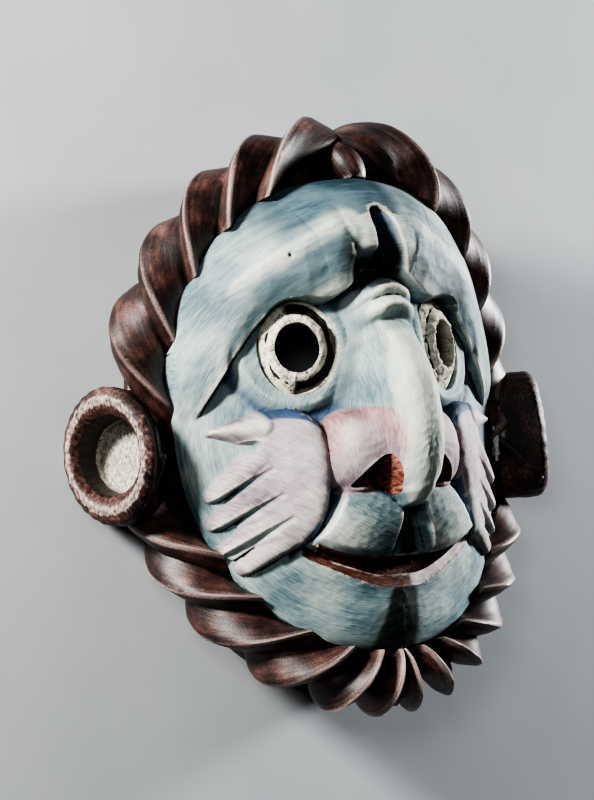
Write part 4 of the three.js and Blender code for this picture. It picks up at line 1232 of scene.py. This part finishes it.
def kept(tree, name):
    return add(tree, "ShaderNodeAttribute", {"attribute_name": name}).outputs["Fac"]


def tones(tree, fac, *pairs):
    """Colours along a number, as (place, hex) pairs."""
    ramp = [(place, colour(code)) for place, code in pairs]
    return add(tree, "ShaderNodeValToRGB", {"ramp": ramp}, {"Fac": fac}).outputs["Color"]


def over(tree, fac, below, above):
    return add(tree, "ShaderNodeMix", {"data_type": "RGBA"}, {0: fac, 6: below, 7: above}).outputs[2]


def math_node(tree, operation, a, b):
    return add(tree, "ShaderNodeMath", {"operation": operation}, {0: a, 1: b}).outputs[0]


def summed(tree, *parts):
    """(noise, weight) pairs added up."""
    total = None
    for noise, weight in parts:
        part = noise if weight == 1 else math_node(tree, "MULTIPLY", noise, weight)
        total = part if total is None else math_node(tree, "ADD", total, part)
    return total


def broken(tree, mask, noise, softness):
    """A mask whose edge is broken up by noise, as paint that was brushed on dry."""
    ragged = math_node(tree, "MULTIPLY", math_node(tree, "SUBTRACT", noise, 0.5), 1.1)
    return add(tree, "ShaderNodeMapRange", {"interpolation_type": "SMOOTHSTEP"}, {
        "Value": math_node(tree, "ADD", mask, ragged), "From Min": 0.5 - softness,
        "From Max": 0.5 + softness}).outputs[0]


def layer(tree, below, above, name, noise, softness, strength=1.0):
    """One paint brushed over another where a kept measure is high."""
    share = broken(tree, kept(tree, name), noise, softness)
    if strength < 1:
        share = math_node(tree, "MULTIPLY", share, strength)
    return over(tree, share, below, above)


def object_mm(tree):
    """Places in the object in millimetres."""
    there = add(tree, "ShaderNodeTexCoord").outputs["Object"]
    return add(tree, "ShaderNodeVectorMath", {"operation": "SCALE"}, {0: there, "Scale": 1000.0}).outputs[0]


def finish_surface(tree, shader, shade, rough_fac, rough, height, depth_mm, strength=0.7, specular=0.5):
    """Link colour, roughness from low to high, and fine relief to the shader."""
    roughness = add(tree, "ShaderNodeMapRange", {}, {
        "Value": rough_fac, "To Min": rough[0], "To Max": rough[1]}).outputs[0]
    bump = add(tree, "ShaderNodeBump", {}, {
        "Height": height, "Distance": depth_mm * MM, "Strength": strength}).outputs[0]
    tree.links.new(shade, shader.inputs["Base Color"])
    tree.links.new(roughness, shader.inputs["Roughness"])
    tree.links.new(bump, shader.inputs["Normal"])
    shader.inputs["Specular IOR Level"].default_value = specular


def face_paint():
    """Matt blue-grey paint brushed dry over carved wood: cream where it is thick or worn on the raised
    places and a painted highlight along the forehead's ridge, deep blue paint and painted shade in the
    hollows, painted shade over the forehead, in the creases and on the nostrils' wings, painted shadow in
    the frown, lip and chin, mauve on the hands and nostrils."""
    material, tree, shader = new_material("brushed_mask_paint")
    stroke = add(tree, "ShaderNodeAttribute", {"attribute_name": "stroke"}).outputs["Vector"]
    spot = object_mm(tree)
    hair = stroke_noise(tree, stroke, (0.12, 1.5, 0.4), 6.0, 0.68)
    sweep = stroke_noise(tree, stroke, (0.05, 0.28, 0.1), 4.0, 0.55)
    patch = speckle(tree, spot, 0.026, 3.0, 0.45)
    grit = speckle(tree, spot, 1.3)
    body = summed(tree, (hair, 0.34), (sweep, 0.18), (patch, 0.48))
    face = tones(tree, body, (0.34, "#2C4854"), (0.42, "#596F75"), (0.475, "#788B8E"), (0.53, "#93A19E"),
                 (0.59, "#AFB9B0"), (0.68, "#D2D6CA"))
    mauve = tones(tree, body, (0.34, "#4A3B45"), (0.42, "#776771"), (0.49, "#97898F"), (0.56, "#AEA2A5"),
                  (0.68, "#CFC6C4"))
    blush = tones(tree, body, (0.38, "#4A2C2E"), (0.48, "#85605D"), (0.58, "#B4948F"))
    cream = tones(tree, hair, (0.3, "#C7CCBE"), (0.7, "#E6E3D2"))
    deep = tones(tree, body, (0.36, "#050E1C"), (0.46, "#0B2445"), (0.54, "#16406B"), (0.66, "#41708F"))
    dusk = tones(tree, body, (0.40, "#071722"), (0.49, "#213D4B"), (0.58, "#526B74"))
    black = tones(tree, hair, (0.3, "#0B1414"), (0.7, "#22302C"))
    rust = tones(tree, hair, (0.35, "#1D0E0A"), (0.5, "#4E2C23"), (0.65, "#8A6355"))
    pale = tones(tree, hair, (0.3, "#B79A97"), (0.55, "#DCCBC7"), (0.8, "#EFE6E0"))
    worn = tones(tree, grit, (0.3, "#D2D0BF"), (0.7, "#ECE8D8"))
    shade = layer(tree, face, mauve, "mauve", sweep, 0.3)
    # painted shade on the nostrils' wings
    shade = layer(tree, shade, blush, "blush", sweep, 0.4, 0.75)
    # cream brushed dry on the raised places, and a painted highlight along the forehead's ridge
    shade = layer(tree, shade, cream, "raised", hair, 0.4, 0.45)
    # deep blue paint and painted shade in the hollows
    shade = layer(tree, shade, deep, "deep", hair, 0.35, 0.9)
    # dark blue paint and painted shade over the forehead
    shade = layer(tree, shade, dusk, "dusk", hair, 0.45, 0.95)
    # painted shade: black in the sharper creases
    shade = layer(tree, shade, black, "gutter", hair, 0.3)
    # painted shadow down the chin, in the lip's valley and in the frown
    shade = layer(tree, shade, black, "streak", hair, 0.45)
    shade = layer(tree, shade, rust, "rust", hair, 0.2)
    shade = layer(tree, shade, pale, "pale_lip", hair, 0.2)
    shade = layer(tree, shade, worn, "crest", hair, 0.3, 0.55)
    height = summed(tree, (hair, 0.8), (grit, 0.3))
    finish_surface(tree, shader, shade, hair, (0.5, 0.82), height, 0.45, specular=0.35)
    return material


def rope_colour(tree, grain, patch):
    """Red-brown paint, darker in the hollows from grime and painted shade, and rubbed to a dull pink on the
    crests.
    """
    body = summed(tree, (grain, 0.55), (patch, 0.45))
    shade = tones(tree, body, (0.36, "#0C0707"), (0.43, "#1D1110"), (0.50, "#38231F"), (0.57, "#573A33"),
                  (0.68, "#86685F"))
    worn = tones(tree, grain, (0.36, "#80665F"), (0.64, "#C8B5AE"))
    dark = tones(tree, grain, (0.3, "#070303"), (0.7, "#1C0D0A"))
    shade = layer(tree, shade, worn, "crest", grain, 0.35, 0.6)
    return layer(tree, shade, dark, "pool", grain, 0.35)


def rope_paint():
    """Red-brown paint over the carved strands, slightly glossy from handling."""
    material, tree, shader = new_material("red_brown_wreath_paint")
    around = add(tree, "ShaderNodeTexCoord").outputs["UV"]
    spot = object_mm(tree)
    grain = stroke_noise(tree, around, (26.0, 2.2, 1.0))
    grit = speckle(tree, spot, 1.1)
    shade = rope_colour(tree, summed(tree, (grain, 0.6), (grit, 0.4)), speckle(tree, spot, 0.06, 3.0, 0.55))
    height = summed(tree, (grain, 1), (grit, 0.5))
    finish_surface(tree, shader, shade, grit, (0.30, 0.62), height, 0.4)
    return material


def bare_wood():
    """Unpainted softwood, browned with age, its grain from chin to forehead."""
    material, tree, shader = new_material("aged_bare_cedar")
    spot = object_mm(tree)
    rings = stroke_noise(tree, spot, (0.55, 0.012, 0.35), 4.0, 0.55, 0.4)
    fibre = stroke_noise(tree, spot, (2.2, 0.05, 2.2), 4.0)
    stain_and_shade = speckle(tree, spot, 0.022, 3.0, 0.5)
    body = summed(tree, (rings, 0.5), (fibre, 0.25), (stain_and_shade, 0.25))
    shade = tones(tree, body, (0.32, "#5A3A22"), (0.45, "#85603D"), (0.54, "#A07850"), (0.68, "#BC976C"))
    dark = tones(tree, fibre, (0.3, "#2A1A10"), (0.7, "#4A3120"))
    # grime and painted shade darken the hollows
    shade = layer(tree, shade, dark, "pool", fibre, 0.35)
    finish_surface(tree, shader, shade, fibre, (0.6, 0.85), fibre, 0.35, specular=0.25)
    return material


def chalk():
    """Thick chalky white round the eyes, pitted, with grime and painted shade in the pits, and the pupil's
    walls darkened further in as painted shade.
    """
    material, tree, shader = new_material("chalky_white_pigment")
    spot = object_mm(tree)
    grit = speckle(tree, spot, 0.9, 5.0, 0.65)
    lump = speckle(tree, spot, 0.22)
    body = summed(tree, (grit, 0.55), (lump, 0.45))
    shade = tones(tree, body, (0.34, "#2A241E"), (0.41, "#8C8474"), (0.48, "#D6CFBD"), (0.62, "#E6E1D2"),
                  (0.75, "#F4F0E4"))
    grime_and_shade = tones(tree, grit, (0.3, "#0C0A09"), (0.7, "#38322B"))
    shade = layer(tree, shade, grime_and_shade, "pool", grit, 0.2)
    shade = layer(tree, shade, grime_and_shade, "soot", summed(tree, (grit, 0.5), (lump, 0.5)), 0.1)
    # painted shade: the pupil's walls darken with depth behind the eye
    shade = over(tree, kept(tree, "eye_depth"), shade, grime_and_shade)
    finish_surface(tree, shader, shade, grit, (0.75, 0.95), body, 1.0, 0.9, 0.2)
    return material


def cut_wood():
    """Brick-red wash on the raw cuts of the nostrils and the mouth."""
    material, tree, shader = new_material("brick_red_wash")
    spot = object_mm(tree)
    fibre = stroke_noise(tree, spot, (0.9, 0.35, 0.12), 5.0, 0.65)
    grit = speckle(tree, spot, 0.9, 4.0)
    shade = tones(tree, fibre, (0.34, "#26120D"), (0.45, "#5E3226"), (0.56, "#8F5B4B"), (0.70, "#B98B7B"))
    dark = tones(tree, grit, (0.3, "#120906"), (0.7, "#2E1710"))
    # grime and painted shade darken the hollows of the cuts
    shade = layer(tree, shade, dark, "pool", grit, 0.3)
    finish_surface(tree, shader, shade, grit, (0.55, 0.8), fibre, 0.5, specular=0.3)
    return material


def ear_paint():
    """The wreath's paint on the ears, rubbed to cream along the rim, with a pale rough floor in the cup,
    and painted shade darkening the inside of the rim and the cup's wall.
    """
    material, tree, shader = new_material("red_brown_ear_paint")
    spot = object_mm(tree)
    grain = stroke_noise(tree, spot, (0.35, 0.35, 0.9))
    grit = speckle(tree, spot, 1.1, 4.0, 0.65)
    inner = tones(tree, grain, (0.35, "#22130F"), (0.5, "#4A302B"), (0.66, "#7A5A53"))
    soot = tones(tree, grit, (0.3, "#080505"), (0.7, "#231613"))
    cream = tones(tree, grit, (0.3, "#B89C8E"), (0.7, "#E3D8CB"))
    pale = tones(tree, summed(tree, (grit, 0.5), (grain, 0.5)),
                 (0.38, "#4E473D"), (0.46, "#8E877B"), (0.54, "#B9B3A6"), (0.70, "#D8D4C8"))
    shade = rope_colour(tree, grain, speckle(tree, spot, 0.06, 3.0, 0.55))
    # painted shade: darker inside the rim and almost black down the cup's wall
    shade = layer(tree, shade, inner, "inner", grain, 0.35)
    shade = layer(tree, shade, soot, "well", grain, 0.3)
    shade = layer(tree, shade, cream, "rim", grain, 0.3, 0.8)
    shade = layer(tree, shade, pale, "floor", grain, 0.25)
    height = summed(tree, (grain, 1), (grit, 0.6))
    finish_surface(tree, shader, shade, grit, (0.32, 0.66), height, 0.6, specular=0.45)
    return material


def iron():
    """A black, slightly rusted iron pin."""
    material, tree, shader = new_material("blackened_iron")
    rust = speckle(tree, object_mm(tree), 1.2, 4.0)
    shade = tones(tree, rust, (0.4, "#1C1917"), (0.6, "#3A2C25"), (0.75, "#6A4030"))
    finish_surface(tree, shader, shade, rust, (0.3, 0.6), rust, 0.2)
    shader.inputs["Metallic"].default_value = 0.8
    return material


def fibre_cord():
    """Pale bark-fibre cord, its strands darker between with grime and painted shade."""
    material, tree, shader = new_material("pale_fibre_cord")
    fibre = stroke_noise(tree, object_mm(tree), (1.6, 0.5, 1.6), 4.0)
    shade = tones(tree, fibre, (0.35, "#8C7B52"), (0.5, "#CDBF94"), (0.7, "#EADFBB"))
    dark = tones(tree, fibre, (0.3, "#3C2E1C"), (0.7, "#6E5A38"))
    shade = layer(tree, shade, dark, "pool", fibre, 0.35)
    finish_surface(tree, shader, shade, fibre, (0.7, 0.95), fibre, 0.3)
    return material


def floor_material():
    """A plain pale floor with the faintest unevenness."""
    material, tree, shader = new_material("pale_floor")
    cloud = speckle(tree, object_mm(tree), 0.01, 3.0, 0.5)
    shade = tones(tree, cloud, (0.3, "#B9BDC1"), (0.7, "#C3C7CA"))
    finish_surface(tree, shader, shade, cloud, (0.75, 0.85), cloud, 0.1, 0.1)
    return material


# Putting it together

BLOCK_TRIANGLES, EAR_TRIANGLES = 190000, 60000
SMOOTH_UNDER = math.radians(38)


def thin_out(piece, most):
    """Fewer triangles where the surface is flat, none lost where the carving turns."""
    triangles = sum(len(p.vertices) - 2 for p in piece.data.polygons)
    if triangles > most:
        modifier = piece.modifiers.new("thin", "DECIMATE")
        modifier.ratio = most / triangles
        choose(piece)
        bpy.ops.object.modifier_apply(modifier=modifier.name)


def keep_largest(piece):
    """Drop crumbs that the cuts leave loose."""
    choose(piece)
    bpy.ops.mesh.separate(type="LOOSE")
    bodies = sorted(bpy.context.selected_objects, key=lambda o: len(o.data.vertices))
    for crumb in bodies[:-1]:
        bpy.data.objects.remove(crumb)
    return bodies[-1]


def paint_wall(piece):
    """The outside of the wall that shows between the wreath, the ears and the plate is painted."""
    mesh = piece.data
    index = np.empty(len(mesh.polygons), dtype=np.int32)
    middle = np.empty(len(mesh.polygons) * 3)
    mesh.polygons.foreach_get("material_index", index)
    mesh.polygons.foreach_get("center", middle)
    x, y, z = middle.reshape(-1, 3).T / MM
    outside = (np.abs(x) > plate_edge_x(y) * 0.96) & (z > 0.5)
    index[(index == BARE) & outside] = ROPE
    mesh.polygons.foreach_set("material_index", index)


def smooth_shade(piece):
    choose(piece)
    bpy.ops.object.shade_smooth_by_angle(angle=SMOOTH_UNDER)


def stand_for(piece, name, node, material=None):
    """Finish a piece that stands for a solid of the frame. A material takes the place of what it has."""
    if material:
        piece.data.materials.clear()
        piece.data.materials.append(material)
    smooth_shade(piece)
    piece.name = name
    piece.data.name = name
    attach(piece, "root")
    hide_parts(node)


def make_ear(side, name, node, cutter):
    ear = combine(ear_cup(side, 0.0, 1.0), "UNION", [ear_ridge(side, 0.0)])
    combine(ear, "DIFFERENCE", [under(EAR_OFF_GROUND), cutter])
    ear = keep_largest(ear)
    thin_out(ear, EAR_TRIANGLES)
    x, y, z = to_ear(places(ear) / MM, side).T
    r = np.hypot(x / EAR_WELL_HALF_WIDTH, y / EAR_WELL_HALF_HEIGHT)
    keep_wear(ear, 0.55)
    keep(ear, "floor", smooth(-19, -23.5, z) * smooth(1.02, 0.92, r))
    # painted shade inside the rim and down the cup's wall
    keep(ear, "inner", smooth(1.2, 1.06, r) * smooth(-8, -3, z) * 0.8)
    keep(ear, "well", smooth(-3, -9, z) * smooth(-24.5, -22, z) * smooth(1.25, 1.15, r) * 0.9)
    keep(ear, "rim", bell(z + 0.2, 0.5) * smooth(1.05, 1.2, r) * 0.5)
    stand_for(ear, name, node, ear_material)


def make_mask():
    mask = keep_largest(make_block())
    thin_out(mask, BLOCK_TRIANGLES)
    paint_wall(mask)
    keep_wear(mask)
    keep_paint_zones(mask)
    stand_for(mask, "carved_mask", "mask_body")


def make_fastenings():
    pin = nail_pin(0.0)
    keep_wear(pin)
    stand_for(pin, "iron_pin", "nail", iron())
    turns = cord(0.0, CORD_GROOVES)
    keep_wear(turns)
    # the join leaves an empty first slot that the faces stay in, so the turns show plain grey
    turns.data.materials.append(fibre_cord())
    stand_for(turns, "cord_lashing", "lashing")


def light_studio():
    """Hard light from both sides, a little from in front, and a pale floor."""
    add_light("left_key", (-1.20, 0.62, 0.36), 43, 0.22, (1.0, 0.98, 0.94))
    add_light("right_key", (1.30, 0.30, 0.20), 38, 0.22, (0.97, 0.99, 1.0))
    add_light("front", (-0.80, 0.20, 1.05), 3, 0.35, (0.93, 0.97, 1.0))
    bpy.context.scene.view_settings.look = "AgX - High Contrast"
    world = bpy.data.worlds.new("studio")
    bpy.context.scene.world = world
    world.use_nodes = True
    world.node_tree.nodes["Background"].inputs["Color"].default_value = colour("#C4D2E6")
    world.node_tree.nodes["Background"].inputs["Strength"].default_value = 0.02
    floor = fresh(bpy.ops.mesh.primitive_plane_add, "floor", size=8)
    floor.location.z = -0.0005
    floor.data.materials.append(floor_material())


block_materials = [face_paint(), rope_paint(), bare_wood(), chalk(), cut_wood()]
ear_material = ear_paint()

place_camera()
light_studio()
make_mask()
make_ear(-1, "carved_right_ear", "right_ear", nail_pin(SEAM))
make_ear(1, "carved_left_ear", "left_ear", cord(SEAM, 0.0))
make_fastenings()
